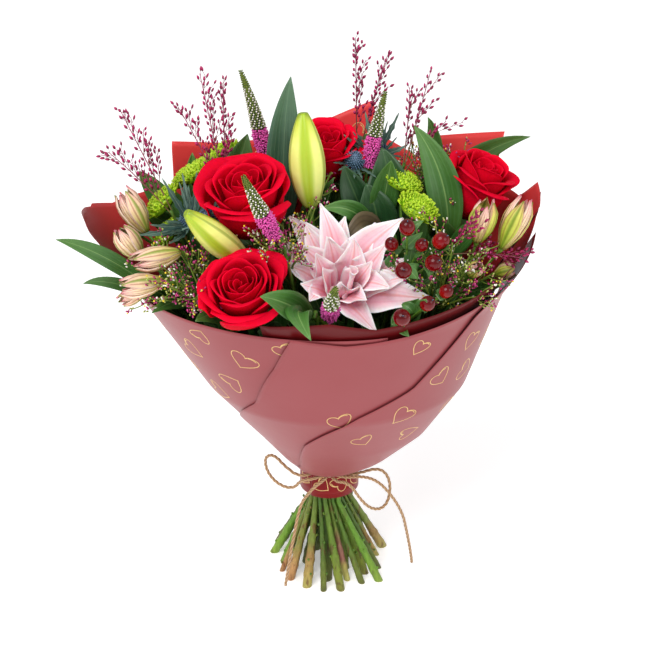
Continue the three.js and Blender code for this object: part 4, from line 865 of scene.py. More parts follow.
# ------------------------------------------------------------------ stems
# each stem: head, axis of the head, radius, skin
STEMS = {
    "rose_front": ((-64, -96, 304), (-0.2, -0.7, 0.68), 3.45, "stem_dark"),
    "rose_left": ((-64, -26, 354), (-0.1, -0.3, 0.95), 3.45, "stem_dark"),
    "rose_centre": ((-1, 48, 362), (0.0, -0.25, 0.97), 3.4, "stem_dark"),
    "rose_right": ((116, 30, 342), (0.5, -0.05, 0.86), 3.6, "stem_dark"),
    "rose_back": ((-46, 68, 312), (-0.15, 0.35, 0.92), 3.4, "stem_dark"),
    "lily": ((6, -50, 292), (0.05, -0.55, 0.83), 3.58, "stem_olive"),
    "alstroemeria_left": ((-108, -40, 292), (-0.6, -0.2, 0.77), 2.94, "stem_yellow"),
    "alstroemeria_right": ((108, -30, 290), (0.5, -0.15, 0.85), 2.85, "stem_yellow"),
    "chrysanthemum_left": ((-118, 5, 300), (-0.5, 0, 0.87), 2.82, "stem_bright"),
    "chrysanthemum_rear_left": ((-92, 40, 318), (-0.3, 0.1, 0.95), 2.82, "stem_dark"),
    "chrysanthemum_right": ((62, -8, 325), (0.2, 0, 0.98), 2.94, "stem_olive"),
    "chrysanthemum_back": ((45, 84, 298), (0.2, 0.35, 0.92), 2.69, "stem_dark"),
    "veronica_tall": ((-52, 34, 372), (-0.15, 0.12, 0.98), 2.05, "stem_dark"),
    "veronica_left": ((-43, -78, 358), (-0.42, -0.2, 0.88), 2.05, "stem_pink"),
    "veronica_right": ((33, 26, 376), (0.16, 0.14, 0.98), 2.05, "stem_dark"),
    "veronica_front": ((0, -112, 305), (0.04, -0.62, 0.78), 2.05, "stem_dark"),
    "eryngium_left": ((-112, -18, 340), (-0.35, -0.1, 0.93), 2.43, "stem_dark"),
    "eryngium_centre": ((40, 44, 376), (0.2, 0.1, 0.97), 2.43, "stem_dark"),
    "hypericum_upper": ((62, -68, 326), (0.3, -0.4, 0.87), 2.56, "stem_olive"),
    "hypericum_lower": ((56, -92, 288), (0.3, -0.6, 0.74), 2.56, "stem_bright"),
    "panicum_far_left": ((-128, -4, 345), (-0.42, 0.12, 0.9), 1.66, "stem_rust"),
    "panicum_left": ((-84, 8, 352), (-0.2, 0.1, 0.97), 1.66, "stem_dark"),
    "panicum_centre": ((24, 76, 362), (0, -0.05, 1), 1.66, "stem_dark"),
    "panicum_right": ((62, 28, 372), (0.25, 0.1, 0.96), 1.66, "stem_dark"),
    "panicum_far_right": ((92, -40, 325), (0.75, -0.1, 0.65), 1.66, "stem_yellow"),
    "limonium_left": ((-100, -66, 292), (-0.35, -0.45, 0.82), 1.92, "stem_dark"),
    "limonium_centre": ((-34, -58, 320), (-0.2, -0.45, 0.87), 1.92, "stem_olive"),
    "limonium_right": ((92, -58, 290), (0.4, -0.4, 0.82), 1.92, "stem_dark"),
    "limonium_rear_right": ((92, 42, 330), (0.3, 0.15, 0.94), 1.92, "stem_dark"),
    "foliage_tall": ((-34, 8, 330), (0.02, 0.02, 1), 2.69, "stem_dark"),
    "foliage_right": ((96, 4, 318), (-0.1, 0.1, 0.99), 2.69, "stem_bright"),
    "foliage_far_right": ((86, 66, 318), (0.5, 0.1, 0.85), 2.69, "stem_dark"),
    "foliage_far_left": ((-138, -48, 290), (-0.8, -0.1, 0.6), 2.69, "stem_rust"),
    "foliage_front": ((-12, -98, 296), (-0.1, -0.7, 0.7), 2.69, "stem_olive"),
    "foliage_centre": ((40, 4, 335), (0.1, -0.1, 0.98), 2.69, "stem_dark"),
    "foliage_rear_left": ((-118, 62, 296), (-0.5, 0.3, 0.8), 2.69, "stem_bright"),
    "foliage_rear_right": ((10, 98, 302), (0.1, 0.5, 0.86), 2.69, "stem_dark"),
}
WAIST_HEIGHT = 72  # below it the stems spread to their feet
TIE_HEIGHT = 106
FAN_START = TIE_HEIGHT + 10  # above it a stem runs straight to its neck
FAN_SOFTNESS = 25
FAN_LENGTH = 224
FOOT_SPREAD = 3.1
FOOT_TWIST = math.radians(24)
NECK_LENGTH = 20
STEM_STEP = 2
KNOTS = [(4, 14, 0.12), (18, 30, 0.2), (34, 48, 0.16), (52, 66, 0.1)]  # lowest and highest place, swell


def node_of(key):
    return f"{key}_stem" if key.startswith(("rose", "lily")) else key


def waist_place(key):
    """Where the stem passes the waist, from its solid."""
    ring = [v.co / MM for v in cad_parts[node_of(key)].data.vertices]
    ring = [p for p in ring if abs(p.z - WAIST_HEIGHT) < 12]
    return sum(ring, Vector()) / len(ring)


def fan_share(height):
    """How far out a stem has fanned at a height above the tie, eased near the tie."""
    rise = max(height - TIE_HEIGHT, 0)
    return (math.hypot(rise, FAN_SOFTNESS) - FAN_SOFTNESS) / FAN_LENGTH


WAIST = {key: waist_place(key) for key in STEMS}


def head_of(key):
    head, axis = STEMS[key][:2]
    return Vector(head), Vector(axis).normalized()


def neck_of(key):
    head, axis = head_of(key)
    return head - axis * NECK_LENGTH


def stem_point(key, height):
    waist = WAIST[key]
    if height < WAIST_HEIGHT:
        share = (WAIST_HEIGHT - height) / WAIST_HEIGHT
        foot = Matrix.Rotation(FOOT_TWIST, 3, "Z") @ Vector((waist.x, waist.y, 0)) * FOOT_SPREAD
        flat = Vector((waist.x, waist.y, 0)).lerp(foot, share)
        return Vector((flat.x, flat.y, height))
    neck = neck_of(key)
    share = fan_share(height) / fan_share(neck.z)
    return Vector((lerp(waist.x, neck.x, share), lerp(waist.y, neck.y, share), height))


def on_straight(key, height):
    """Point of the stem above the tie, where it runs straight to its neck."""
    low, neck = stem_point(key, FAN_START), neck_of(key)
    return low.lerp(neck, clamp((height - low.z) / (neck.z - low.z)))


def branch_foot(key, k):
    """Place just below the head where branch k starts."""
    head, axis = head_of(key)
    return head - axis * (3 + 4 * k)


def grow_stem(piece, key):
    """Stem with a slight bend, ribs and swollen knots, each knot with a small dry bud."""
    head, axis = head_of(key)
    radius, skin = STEMS[key][2:]
    dice = random.Random(key)
    bend, turn = dice.uniform(0.2, 0.9), dice.uniform(0, TAU)
    low = []
    for z in range(0, WAIST_HEIGHT + 1, STEM_STEP):
        sway = bend * math.sin(math.pi * z / WAIST_HEIGHT)
        low.append(stem_point(key, z) + Vector((math.cos(turn), math.sin(turn), 0)) * sway)
    straight = [stem_point(key, TIE_HEIGHT - 4), stem_point(key, FAN_START), neck_of(key), head - axis * 0.3]
    points = low + [stem_point(key, TIE_HEIGHT - 12)] + catmull(straight, 5)
    knots = [(dice.uniform(lowest, highest), swell) for lowest, highest, swell in KNOTS]
    last = len(points) - 1

    def thick(t):
        height = points[round(t * last)].z
        swollen = sum(swell * math.exp(-((height - at) / 2.2) ** 2) for at, swell in knots)
        grain = 0.02 * math.sin(0.45 * height + radius) + 0.012 * math.sin(1.3 * height + 9 * bend)
        foot = 1 + 0.34 * smooth(1 - height / 66)
        return radius * foot * lerp(1.06, 0.7, smooth(t)) * (1 + swollen + grain)

    def ribs(angle, t):
        return 1 + 0.04 * math.cos(3 * angle + turn) + 0.015 * math.sin(5 * angle + 11 * t)

    shoot(piece, points, thick, 12, skin, dice.random(), ribs, flat=True)
    for at, _ in knots:
        way = Vector((math.cos(9 * at), math.sin(9 * at), 0))
        foot = low[round(at / STEM_STEP)] + way * radius * 1.1
        spindle(piece, foot, foot + way * 1.5 + UP * 3.2, 1.1, skin, 0.9)


# ------------------------------------------------------------------ leaves
def leaf_outline(v):
    """Share of the full width at v: a short stalk, then the blade."""
    if v < 0.1:
        return 0.08 + 0.04 * v
    return max(math.sin(math.pi * ((v - 0.1) / 0.9) ** 0.8) ** 0.85, 0.02 + 0.06 * (1 - v))


def leaf(piece, foot, corner, tip, width, tone=0.5, skin="leaf", face=None, along=18):
    """Leaf from foot to tip over a corner point, folded along its rib."""
    fold, wave = 0.35, 0.06
    spine = bezier(foot, corner, tip, along)
    face = Vector(face or (0, -0.9, 0.55))

    def point(u, v):
        place, across, lift = along_spine(spine, v, face)
        half = width / 2 * leaf_outline(v)
        ripple = wave * width * math.sin(9 * v + 3 * tone) * u * leaf_outline(v)
        furrow = 0.012 * width * math.cos(7 * math.pi * u) * leaf_outline(v)
        return place + across * half * u + lift * (fold * half * abs(u) ** 1.3 + ripple + furrow)

    blade(piece, point, 10, along, 0.5, skin, tone, under="leaf_under")


# leaves on a stem: height of the foot, corner of the spine, tip, width and for another skin its name
LEAVES = {
    "foliage_tall": [
        (330, (-42, 16, 390), (-31, 24, 452), 25, "blue_leaf"), (322, (-52, 38, 350), (-44, 64, 404), 15),
        (300, (-14, 8, 340), (4, 6, 372), 14), (296, (-52, 34, 340), (-74, 44, 380), 15)],
    "foliage_right": [
        (316, (104, 0, 372), (69, 22, 411), 25), (300, (110, -14, 330), (126, -30, 352), 15),
        (290, (70, 10, 318), (60, 30, 352), 15)],
    "foliage_far_right": [
        (316, (116, 90, 366), (168, 47, 392), 18), (296, (100, 50, 330), (112, 44, 366), 15),
        (316, (100, 84, 366), (84, 78, 398), 15)],
    "foliage_far_left": [
        (288, (-178, -54, 336), (-216, -60, 346), 13), (280, (-172, -72, 322), (-194, -78, 316), 9),
        (272, (-140, -60, 312), (-160, -76, 308), 14)],
    "foliage_front": [
        (292, (-28, -128, 326), (-52, -146, 338), 20), (288, (-36, -124, 332), (-14, -167, 312), 18)],
    "foliage_centre": [
        (332, (48, 6, 366), (50, -2, 390), 20), (326, (20, 8, 358), (12, 12, 380), 22, "dark_leaf"),
        (330, (56, 8, 360), (43, 22, 392), 32, "dark_leaf"),
        (322, (44, -4, 340), (30, 8, 366), 30, "dark_leaf"),
        (334, (26, -18, 362), (-6, -22, 356), 15), (328, (34, -22, 356), (12, -36, 330), 21, "brown_leaf")],
    "chrysanthemum_rear_left": [
        (298, (-82, 36, 350), (-68, 48, 394), 32), (290, (-84, 30, 340), (-92, 26, 372), 22)],
    "foliage_rear_left": [
        (294, (-150, 66, 336), (-162, 60, 356), 18), (286, (-120, 84, 330), (-118, 88, 362), 18),
        (290, (-140, 40, 322), (-158, 20, 336), 16)],
    "foliage_rear_right": [
        (304, (20, 112, 346), (36, 112, 372), 18), (296, (-14, 112, 336), (-34, 108, 366), 18),
        (300, (0, 106, 330), (-4, 100, 366), 16)],
    "rose_front": [(270, (-84, -78, 300), (-104, -112, 300), 20)],
    "rose_left": [(318, (-84, -20, 344), (-112, -4, 356), 18)],
    "alstroemeria_left": [(280, (-120, -60, 300), (-140, -90, 296), 12)],
    "alstroemeria_right": [(280, (120, -50, 300), (136, -70, 310), 12)],
}
LEAF_SCALE = 1.15


def bloom_zones():
    """Balls that the blooms and buds fill: middle and radius."""
    zones = [(head_of("lily")[0] + head_of("lily")[1] * 34, 58)]
    for key, (radius, tall, *_) in ROSES.items():
        head, axis = head_of(key)
        zones.append((head + axis * tall * 0.5, radius + 2))
    long_ones = [rows for buds in ALSTROEMERIA_BUDS.values() for rows in buds]
    long_ones += [rows[:3] for rows in LILY_BUDS.values()]
    for foot, tip, radius in long_ones:
        zones += [(Vector(foot).lerp(Vector(tip), t), radius + 2) for t in (0.15, 0.5, 0.85)]
    for heads in CHRYSANTHEMUM_HEADS.values():
        zones += [(Vector(place), radius) for place, radius in heads]
    for berries in BERRIES.values():
        zones += [(Vector((x, y, z)), radius + 1) for x, y, z, radius in berries]
    for key, (length, radius, _) in VERONICA.items():
        head, axis = head_of(key)
        zones += [(head + axis * length * t, radius) for t in (0.1, 0.3, 0.5, 0.7, 0.9)]
    return zones


FRONT = Vector((0, -0.891, 0.454))  # towards the camera


def hides_bloom(place, zones):
    """Whether a place lies in a bloom or right in front of one."""
    for middle, radius in zones:
        gap = place - middle
        ahead = max(gap.dot(FRONT), 0)
        if (gap - FRONT * ahead).length < radius * 0.9:
            return True
    return False


# leaves that close the bouquet between the blooms: how many on each stem of a kind
FILLERS = {"rose": 8, "lily": 8, "alstroemeria": 9, "chrysanthemum": 9, "hypericum": 8, "foliage": 11,
           "limonium": 6, "eryngium": 5}
FILLER_TRIES = 90
FILLER_LOW = 222  # lowest foot of such a leaf
PAPER_CLEARANCE = 10


def grow_fillers(piece, key, zones):
    """Leaves inside the paper, below the blooms and clear of them."""
    dice = random.Random(f"{key} filler")
    missing = FILLERS.get(key.split("_")[0], 0)
    for _ in range(FILLER_TRIES):
        if not missing:
            return
        foot = on_straight(key, dice.uniform(FILLER_LOW, neck_of(key).z))
        out = Vector((foot.x, foot.y, 0)) / 110 + scattered(dice, 1.0)
        tip = foot + out * dice.uniform(14, 28) + UP * dice.uniform(30, 62)
        corner = foot.lerp(tip, 0.5) + out * 6 + UP * 6
        canopy = 352 + 0.35 * tip.y - 0.0008 * tip.x ** 2
        wall = paper_surface(math.atan2(tip.x, -tip.y), row_at_height(tip.z))
        reach = math.hypot(tip.x, tip.y)
        inside = reach < math.hypot(wall.x, wall.y) - PAPER_CLEARANCE
        marks = [foot.lerp(tip, 0.35), foot.lerp(corner, 0.5).lerp(corner.lerp(tip, 0.5), 0.5), tip]
        if tip.z > canopy or not inside or any(hides_bloom(mark, zones) for mark in marks):
            continue
        face = Vector((foot.x / 200, -0.6, 0.8)) + scattered(dice, 0.5)
        leaf(piece, foot, corner, tip, dice.uniform(15, 26), dice.uniform(0, 0.7), "leaf", face, along=12)
        missing -= 1


def grow_leaves(piece, key):
    dice = random.Random(f"{key} leaves")
    for height, corner, tip, width, *skins in LEAVES.get(key, []):
        foot = on_straight(key, min(height, neck_of(key).z))
        face = (-0.15 * foot.x / 100, -0.9, 0.55)
        leaf(piece, foot, corner, tip, width * LEAF_SCALE, dice.random(), *(skins or ["leaf"]), face)


# ------------------------------------------------------------------ roses
# radius, height, spin, petals, way the bloom looks, how far its outer petals reach below its head
ROSES = {
    "rose_front": (36, 36, 0.3, 25, (-0.16, -0.45, 0.88), 8),
    "rose_left": (39, 38, 1.1, 22, (-0.12, -0.3, 0.95), 20),
    "rose_centre": (29, 36, 0.6, 20, (0.0, -0.25, 0.97), 14),
    "rose_right": (31, 38, 2.0, 20, (0.4, -0.15, 0.9), 16),
    "rose_back": (29, 34, 1.6, 20, (-0.15, 0.35, 0.92), 4)}
GOLDEN = math.radians(137.5)


def rose_petal(piece, place, reach, tall, centre, half, foot, roll, lip, tone, wild, sink):
    """Petal that stands up from foot to reach and rolls outwards at its lip."""
    start = 0.66

    def point(u, v):
        spread = lerp(0.45, 1, math.sin(math.pi / 2 * min(1, 1.4 * v)))
        angle = centre + half * u * spread * (1 - 0.2 * smooth((v - 0.7) / 0.3) * u * u)
        wave = wild * (math.sin(3.4 * u + 6 * tone) + 0.6 * math.sin(7.3 * u + 11 * tone)) * v * v
        top = tall * (1 - 0.24 * abs(u) ** 2.4) - lip * 0.6
        rise = min(v / start, 1)
        r = lerp(foot, reach, math.sin(math.pi / 2 * rise) ** 0.9) + 1.3 * u * rise + wave
        z = 2 - sink + (top - 2 + sink) * rise ** 1.1
        turn = roll * smooth((v - start) / (1 - start)) * (1 - 0.35 * u * u)
        r += lip * (1 - math.cos(turn)) * (1 + 0.25 * math.sin(2 * u + 9 * tone))
        z += lip * math.sin(turn) + 0.5 * lip * max(0, (v - start) / (1 - start)) * (1 - min(turn, 1))
        return Vector((r * math.cos(angle), r * math.sin(angle), z + 0.5 * wave))

    blade(piece, point, 16, 18, 0.55, "rose_petal", tone, place)


def add_rose(key):
    radius, tall, spin, count, axis, sink = ROSES[key]
    place = stand_on(head_of(key)[0], axis, spin)
    dice = random.Random(key)
    piece = Piece()
    lathe(piece, [(0, 3), (1.5, 7), (5, 9), (9, 8), (12, 3)], 20, "rose_petal", place, 0.2)
    for k in range(count):
        t = k / (count - 1)
        reach = radius * (0.05 + 0.84 * t ** 0.8) * dice.uniform(0.95, 1.03)
        high = tall * (0.9 + 0.14 * math.sin(math.pi * min(1, 1.25 * t)) - 0.22 * smooth((t - 0.55) / 0.45))
        half = lerp(1.9, 0.95, t ** 0.45) * dice.uniform(0.9, 1.1)
        roll = lerp(0.1, 2.3, t ** 1.1) * dice.uniform(0.7, 1.15)
        lip = lerp(0.7, 7.5, t ** 0.9) * dice.uniform(0.75, 1.25)
        high *= dice.uniform(0.93, 1.04)
        centre = k * GOLDEN + dice.uniform(-0.25, 0.25)
        foot = min(reach * 0.7, lerp(7, 12, t))
        rose_petal(piece, place, reach, high, centre, half, foot, roll, lip, tone=dice.random(),
                   wild=lerp(0.2, 1.5, t), sink=sink * smooth(2 * t - 1))
    piece.build(f"{key}_bloom_petals", [f"{key}_bloom"])


def grow_calyx(piece, key):
    """Green cup below a rose with its five sepals."""
    head, axis = head_of(key)
    place = stand_on(head, axis, 0.4)
    lathe(piece, [(-10, 2.6), (-8, 4.2), (-5, 5.4), (-2, 5.2), (-0.4, 4.4)], 14, "stem_dark", place, 0.8)
    for k in range(5):
        turn = TAU * k / 5

        def point(u, v, turn=turn):
            r = 4.6 + 15 * v
            z = -3 - 6 * math.sin(math.pi / 2 * v) + 3 * v * v
            half = 2.6 * max(math.sin(math.pi * (0.12 + 0.88 * v)), 0.04)
            return Matrix.Rotation(turn, 3, "Z") @ Vector((r, half * u, z + 0.6 * abs(u)))

        blade(piece, point, 4, 8, 0.5, "leaf", 0.6, place, under="leaf_under")


# ------------------------------------------------------------------ lily
# petals of the double lily: where the tip shows in the photograph, across and down in pixels, then the
# depth of the tip along Y and the width of the petal in millimetres
LILY_PETALS = [
    (290, 215, -32, 30), (320, 203, -34, 26), (403, 217, -36, 33), (278, 238, -48, 27), (345, 215, -28, 26),
    (375, 222, -34, 28), (305, 224, -40, 26), (300, 245, -60, 26), (353, 243, -62, 31), (405, 258, -58, 23),
    (328, 237, -58, 27), (385, 243, -60, 27), (290, 262, -66, 25), (433, 298, -80, 36), (325, 268, -88, 27),
    (352, 268, -86, 27), (385, 283, -92, 27), (305, 283, -84, 25), (377, 332, -112, 23), (342, 284, -98, 24),
    (366, 300, -102, 25), (310, 300, -96, 22), (412, 276, -72, 24), (318, 255, -76, 24), (370, 262, -76, 26)]


def lily_petal(piece, foot, corner, tip, width, face, tone, curl):
    """Ruffled petal from foot to tip, its tip bent back by curl millimetres."""
    steps = 22
    spine = bezier(foot, corner, tip, steps)

    def point(u, v):
        place, across, lift = along_spine(spine, v, face)
        outline = math.sin(math.pi * (0.04 + 0.96 * v ** 0.95)) ** 0.85 * (1 - 0.22 * v ** 5)
        half = width / 2 * max(outline, 0.05)
        ruffle = math.sin(15 * v + 8 * tone) + 0.6 * math.sin(27 * v + 5 * tone)
        height = (0.42 * half * u * u + 1.3 * ruffle * u * abs(u) * smooth((v - 0.25) / 0.2)
                  + 0.6 * math.exp(-30 * u * u) - curl * smooth((v - 0.65) / 0.35))
        return place + across * half * u + lift * height

    blade(piece, point, 12, steps, 0.6, "lily_petal", tone)


def add_lily():
    head, axis = head_of("lily")
    dice = random.Random("lily")
    piece = Piece()
    lathe(piece, [(0, 3), (3, 5), (6, 6.5), (9, 5.5), (10, 3)], 18, "lily_petal", stand_on(head, axis), 0.5)
    for across, down, depth, width in LILY_PETALS:
        tip = seen_at(across, down, depth)
        way = tip - head
        side = (way - axis * way.dot(axis)).normalized()
        foot = head + axis * 2.5 + side * 4
        corner = head + axis * (6 + 0.3 * way.length) + side * (4 + 0.2 * way.length)
        corner += side.cross(axis) * dice.uniform(-10, 10)
        face = axis * 0.7 + Vector((0, -0.6, 0.3)) - side * 0.4
        lily_petal(piece, foot, corner, tip, width, face, dice.random(), dice.uniform(0, 9))
    piece.build("lily_bloom_petals", ["lily_bloom"])


# foot, tip, radius, height at which the stalk leaves the stem, corner of the stalk
LILY_BUDS = {
    "lily_bud_upper": ((-15, -8, 352), (-21, 2, 429), 14.5, 262, (-12, -16, 318)),
    "lily_bud_left": ((-66, -54, 324), (-110, -81, 378), 11.8, 250, (-34, -40, 292))}


def add_lily_bud(name):
    foot, tip, radius, _, _ = LILY_BUDS[name]
    foot, tip = Vector(foot), Vector(tip)
    place = stand_on(foot, tip - foot, 0.5)
    length = (tip - foot).length
    piece = Piece()

    def lobe(angle, t):
        """Three petals, with a groove between two and a ridge along each."""
        petal = 0.07 * math.cos(3 * angle + math.pi)
        groove = 0.05 * math.exp(-(math.sin(1.5 * angle) / 0.13) ** 2)
        ridge = 0.035 * math.exp(-(math.cos(1.5 * angle) / 0.2) ** 2) * math.sin(math.pi * t)
        return 1 + petal - groove + ridge

    profile = []
    for k in range(41):
        t = k / 40
        swell = math.sin(math.pi * (0.06 + 0.9 * t ** 0.92)) ** 0.8
        profile.append((length * t, radius * (0.1 + 0.9 * swell)))
    lathe(piece, profile, 72, "lily_bud_skin", place, 0.5, lobe)
    piece.build(f"{name}_skin", [name])


def grow_bud_stalks(piece, key):
    """Stalks of the closed buds, from the stem of the lily."""
    for foot, tip, _, leave, way in LILY_BUDS.values():
        foot, tip = Vector(foot), Vector(tip)
        unit = (tip - foot).normalized()
        line = bezier(on_straight(key, leave), way, foot - unit * 12, 10) + [foot - unit * 0.35]
        shoot(piece, line, 1.9, 10, "stem_bright", 0.6)


def add_bud_material():
    """Three green ridges along the bud, pale bands beside them and darker grooves between."""
    s = Shader("lily_bud_skin", Roughness=0.38, Subsurface_Weight=0.1, Subsurface_Scale=0.003)
    across, run, _ = s.grain()
    wave = s.math("COSINE", s.math("MULTIPLY", across, 3 * TAU))
    ridge = s.step(wave, 0.0, 0.85)
    groove = s.step(s.math("MULTIPLY", wave, -1.0), 0.9, 1.0)
    body = s.ramp(run, [(0, rgb(170, 186, 80)), (0.2, rgb(232, 238, 142)), (0.7, rgb(240, 244, 132)),
                        (0.92, rgb(190, 206, 60)), (1, rgb(110, 140, 30))])
    color = s.mix(s.math("MULTIPLY", ridge, 0.9), body, rgb(158, 190, 14))
    color = s.mix(s.math("MULTIPLY", groove, 0.7), color, rgb(120, 140, 40))
    patch = s.noise(300)
    color = s.mix(s.math("MULTIPLY", patch, 0.3), color, rgb(196, 206, 70))
    s.color(color)
    s.bump(patch, strength=0.15, distance=0.0003)


add_bud_material()


# ------------------------------------------------------------------ alstroemeria
# buds: foot, tip, radius
ALSTROEMERIA_BUDS = {
    "alstroemeria_left": [
        ((-149, -18, 334), (-168, -10, 367), 10.5), ((-152, -42, 322), (-168, -42, 348), 10),
        ((-118, -62, 336), (-154, -78, 334), 9.5), ((-130, -78, 318), (-163, -90, 318), 9.5),
        ((-146, -64, 306), (-166, -78, 300), 7)],
    "alstroemeria_right": [
        ((118, -42, 336), (125, -42, 371), 10.5), ((138, -42, 330), (157, -34, 370), 10.5),
        ((134, -40, 306), (150, -42, 312), 7), ((112, -60, 316), (118, -76, 330), 6)]}


def alstroemeria_bud(piece, foot, tip, radius, outside, dice):
    """Half open bud of three outer and three inner petals."""
    foot, tip = Vector(foot), Vector(tip)
    place = stand_on(foot, tip - foot, dice.uniform(0, 6))
    length = (tip - foot).length
    rows = [(0, 0.25), (0.15, 0.55), (0.35, 0.88), (0.6, 1.02), (0.8, 0.92), (0.93, 0.62), (1, 0.5)]
    for k in range(6):
        outer = k % 2 == 0
        centre, long = TAU * k / 6, length * dice.uniform(0.94, 1.06)
        flare = dice.uniform(-0.05, 0.3)

        def point(u, v, outer=outer, centre=centre, long=long, flare=flare):
            r = radius * table(rows, v) * (1 if outer else 0.86) + radius * flare * max(0, v - 0.82) * 4
            half = (0.78 if outer else 0.68) * max(math.sin(math.pi * (0.18 + 0.8 * v)) ** 0.6, 0.08)
            frill = 0.4 * math.sin(7 * u + 9 * v + centre) * max(0, v - 0.6) * 2.5
            angle = centre + half * u
            r += 0.08 * radius * (1 - u * u) + frill
            return Vector((r * math.cos(angle), r * math.sin(angle), long * v * (1 - 0.04 * u * u)))

        blade(piece, point, 8, 14, 0.5, outside if outer else "cream_petal", dice.random(), place)
    lathe(piece, [(-4, 1.3), (-1, 2.2), (2, 2.6), (5, 2.0)], 10, "stem_bright", place, 0.6)


def grow_alstroemeria(piece, key):
    dice = random.Random(key)
    outside = "green_outer" if key.endswith("right") else "cream_outer"
    for k, (foot, tip, radius) in enumerate(ALSTROEMERIA_BUDS[key]):
        start, end = branch_foot(key, k), Vector(foot)
        sag = start.lerp(end, 0.6) - (Vector(tip) - end) * 0.25
        shoot(piece, bezier(start, sag, end, 8), 1.2, 8, "stem_bright", 0.6)
        alstroemeria_bud(piece, foot, tip, radius, outside, dice)


# ------------------------------------------------------------------ green chrysanthemums
# heads: middle, radius
CHRYSANTHEMUM_HEADS = {
    "chrysanthemum_left": [((-137, 10, 348), 18), ((-133, -4, 326), 15), ((-160, 2, 324), 16)],
    "chrysanthemum_rear_left": [((-107, 32, 367), 18), ((-90, 58, 372), 18), ((-120, 56, 352), 16)],
    "chrysanthemum_right": [((71, -24, 357), 18), ((60, 8, 366), 17)],
    "chrysanthemum_back": [((38, 90, 344), 14), ((68, 80, 340), 13)]}


def chrysanthemum_head(piece, place, radius, dice):
    """Dome of small cupped florets over a green core."""
    core = [(0.0, 0.25), (0.18, 0.8), (0.42, 0.82), (0.68, 0.5), (0.78, 0.12)]
    lathe(piece, [(height * radius, wide * radius) for height, wide in core], 14, "lime_floret", place, 0.1)
    count = 230
    for k in range(count):
        share = (k + 0.5) / count
        outward = on_ball(math.acos(1 - 1.15 * share), k * GOLDEN + dice.uniform(-0.16, 0.16))
        base = Vector((outward.x * 0.72, outward.y * 0.72, 0.3 + outward.z * 0.42)) * radius
        lift = (UP.lerp(outward, 0.8) + scattered(dice, 0.16)).normalized()
        size = radius * lerp(0.16, 0.34, share) * dice.uniform(0.75, 1.2)
        across = lift.orthogonal().normalized() if abs(lift.z) > 0.99 else UP.cross(lift).normalized()
        inward = lift.cross(across)

        def point(u, v, base=base, lift=lift, size=size, across=across, inward=inward):
            half = size * 0.2 * (0.6 + 0.9 * v) * (1 - 0.5 * v ** 6)
            cup = size * 0.16 * u * u
            return base + lift * size * v + across * half * u + inward * (cup + size * 0.35 * v * v)

        blade(piece, point, 2, 3, 0.4, "lime_floret", dice.random(), place)


def grow_chrysanthemum(piece, key):
    dice = random.Random(key)
    for k, (place, radius) in enumerate(CHRYSANTHEMUM_HEADS[key]):
        centre = Vector(place)
        outward = (centre - Vector((0, 0, 220))).normalized()
        base = centre - outward * 0.34 * radius
        foot = branch_foot(key, k)
        shoot(piece, bezier(foot, foot.lerp(base, 0.5) - UP * 2, base, 6), 1.2, 8, "stem_bright", 0.5)
        chrysanthemum_head(piece, stand_on(base, outward, dice.uniform(0, 6)), radius, dice)


# ------------------------------------------------------------------ veronica
# length, radius and how far the tip leans to the right, as a share of the length
VERONICA = {
    "veronica_tall": (84, 7.4, -0.1), "veronica_left": (62, 7.4, 0.05), "veronica_right": (64, 7, 0.05),
    "veronica_front": (52, 7.4, 0.05)}
OPEN_SHARE = 0.4  # lower part of a spike, whose florets are open


def grow_veronica(piece, key):
    """Spike with open florets below and rows of white and green buds above."""
    length, radius, lean = VERONICA[key]
    head, axis = head_of(key)
    place = stand_on(head - axis * 3, axis)
    dice = random.Random(key)

    def width(t):
        return radius * (lerp(0.8, 1.02, t / 0.3) if t < 0.3 else lerp(1.02, 0.22, ((t - 0.3) / 0.7) ** 1.2))

    def middle(t):
        return Vector((lean * length * t * t, 0, length * t))

    core = [place @ middle(k / 16) for k in range(17)]
    shoot(piece, core, lambda t: width(t) * 0.62 * (0.3 if t > 0.97 else 1), 10, "green_bud", 0.3)
    rows = round(length / 1.9)
    for row in range(rows):
        t = (row + 0.5) / rows
        around = max(5, round(TAU * width(t) * 0.8 / lerp(2.3, 1.7, t)))
        for k in range(around):
            angle = TAU * (k + 0.5 * (row % 2)) / around + dice.uniform(-0.05, 0.05)
            out = Vector((math.cos(angle), math.sin(angle), 0))
            base = middle(t) + out * width(t) * 0.5
            root = place @ base
            if t < OPEN_SHARE:
                for _ in range(3):
                    end = base + out * width(t) * dice.uniform(0.3, 0.55) + scattered(dice, 1.2)
                    spindle(piece, root, place @ end, 0.8, "magenta_floret", dice.random(), 4)
            else:
                skin = "white_bud" if t < 0.82 and (k + row // 2) % 2 else "green_bud"
                end = place @ (base + out * width(t) * 0.52 + UP * lerp(0.6, 1.8, t))
                spindle(piece, root, end, lerp(0.86, 0.55, t), skin, dice.random(), 5, (0.45, 0.8))


# ------------------------------------------------------------------ eryngium
# tips of the long bracts, and places of the smaller heads
ERYNGIUM_BRACTS = {
    "eryngium_left": [
        (-133, -30, 386), (-107, -8, 383), (-143, -40, 350), (-158, -34, 338), (-128, -50, 338),
        (-92, -42, 362), (-120, 6, 376)],
    "eryngium_centre": [
        (30, 52, 412), (58, 50, 412), (66, 40, 388), (12, 36, 398), (20, 66, 392), (44, 24, 396)]}
ERYNGIUM_SIDE_HEADS = {"eryngium_centre": [(20, 26, 374)], "eryngium_left": [(-96, -26, 346)]}


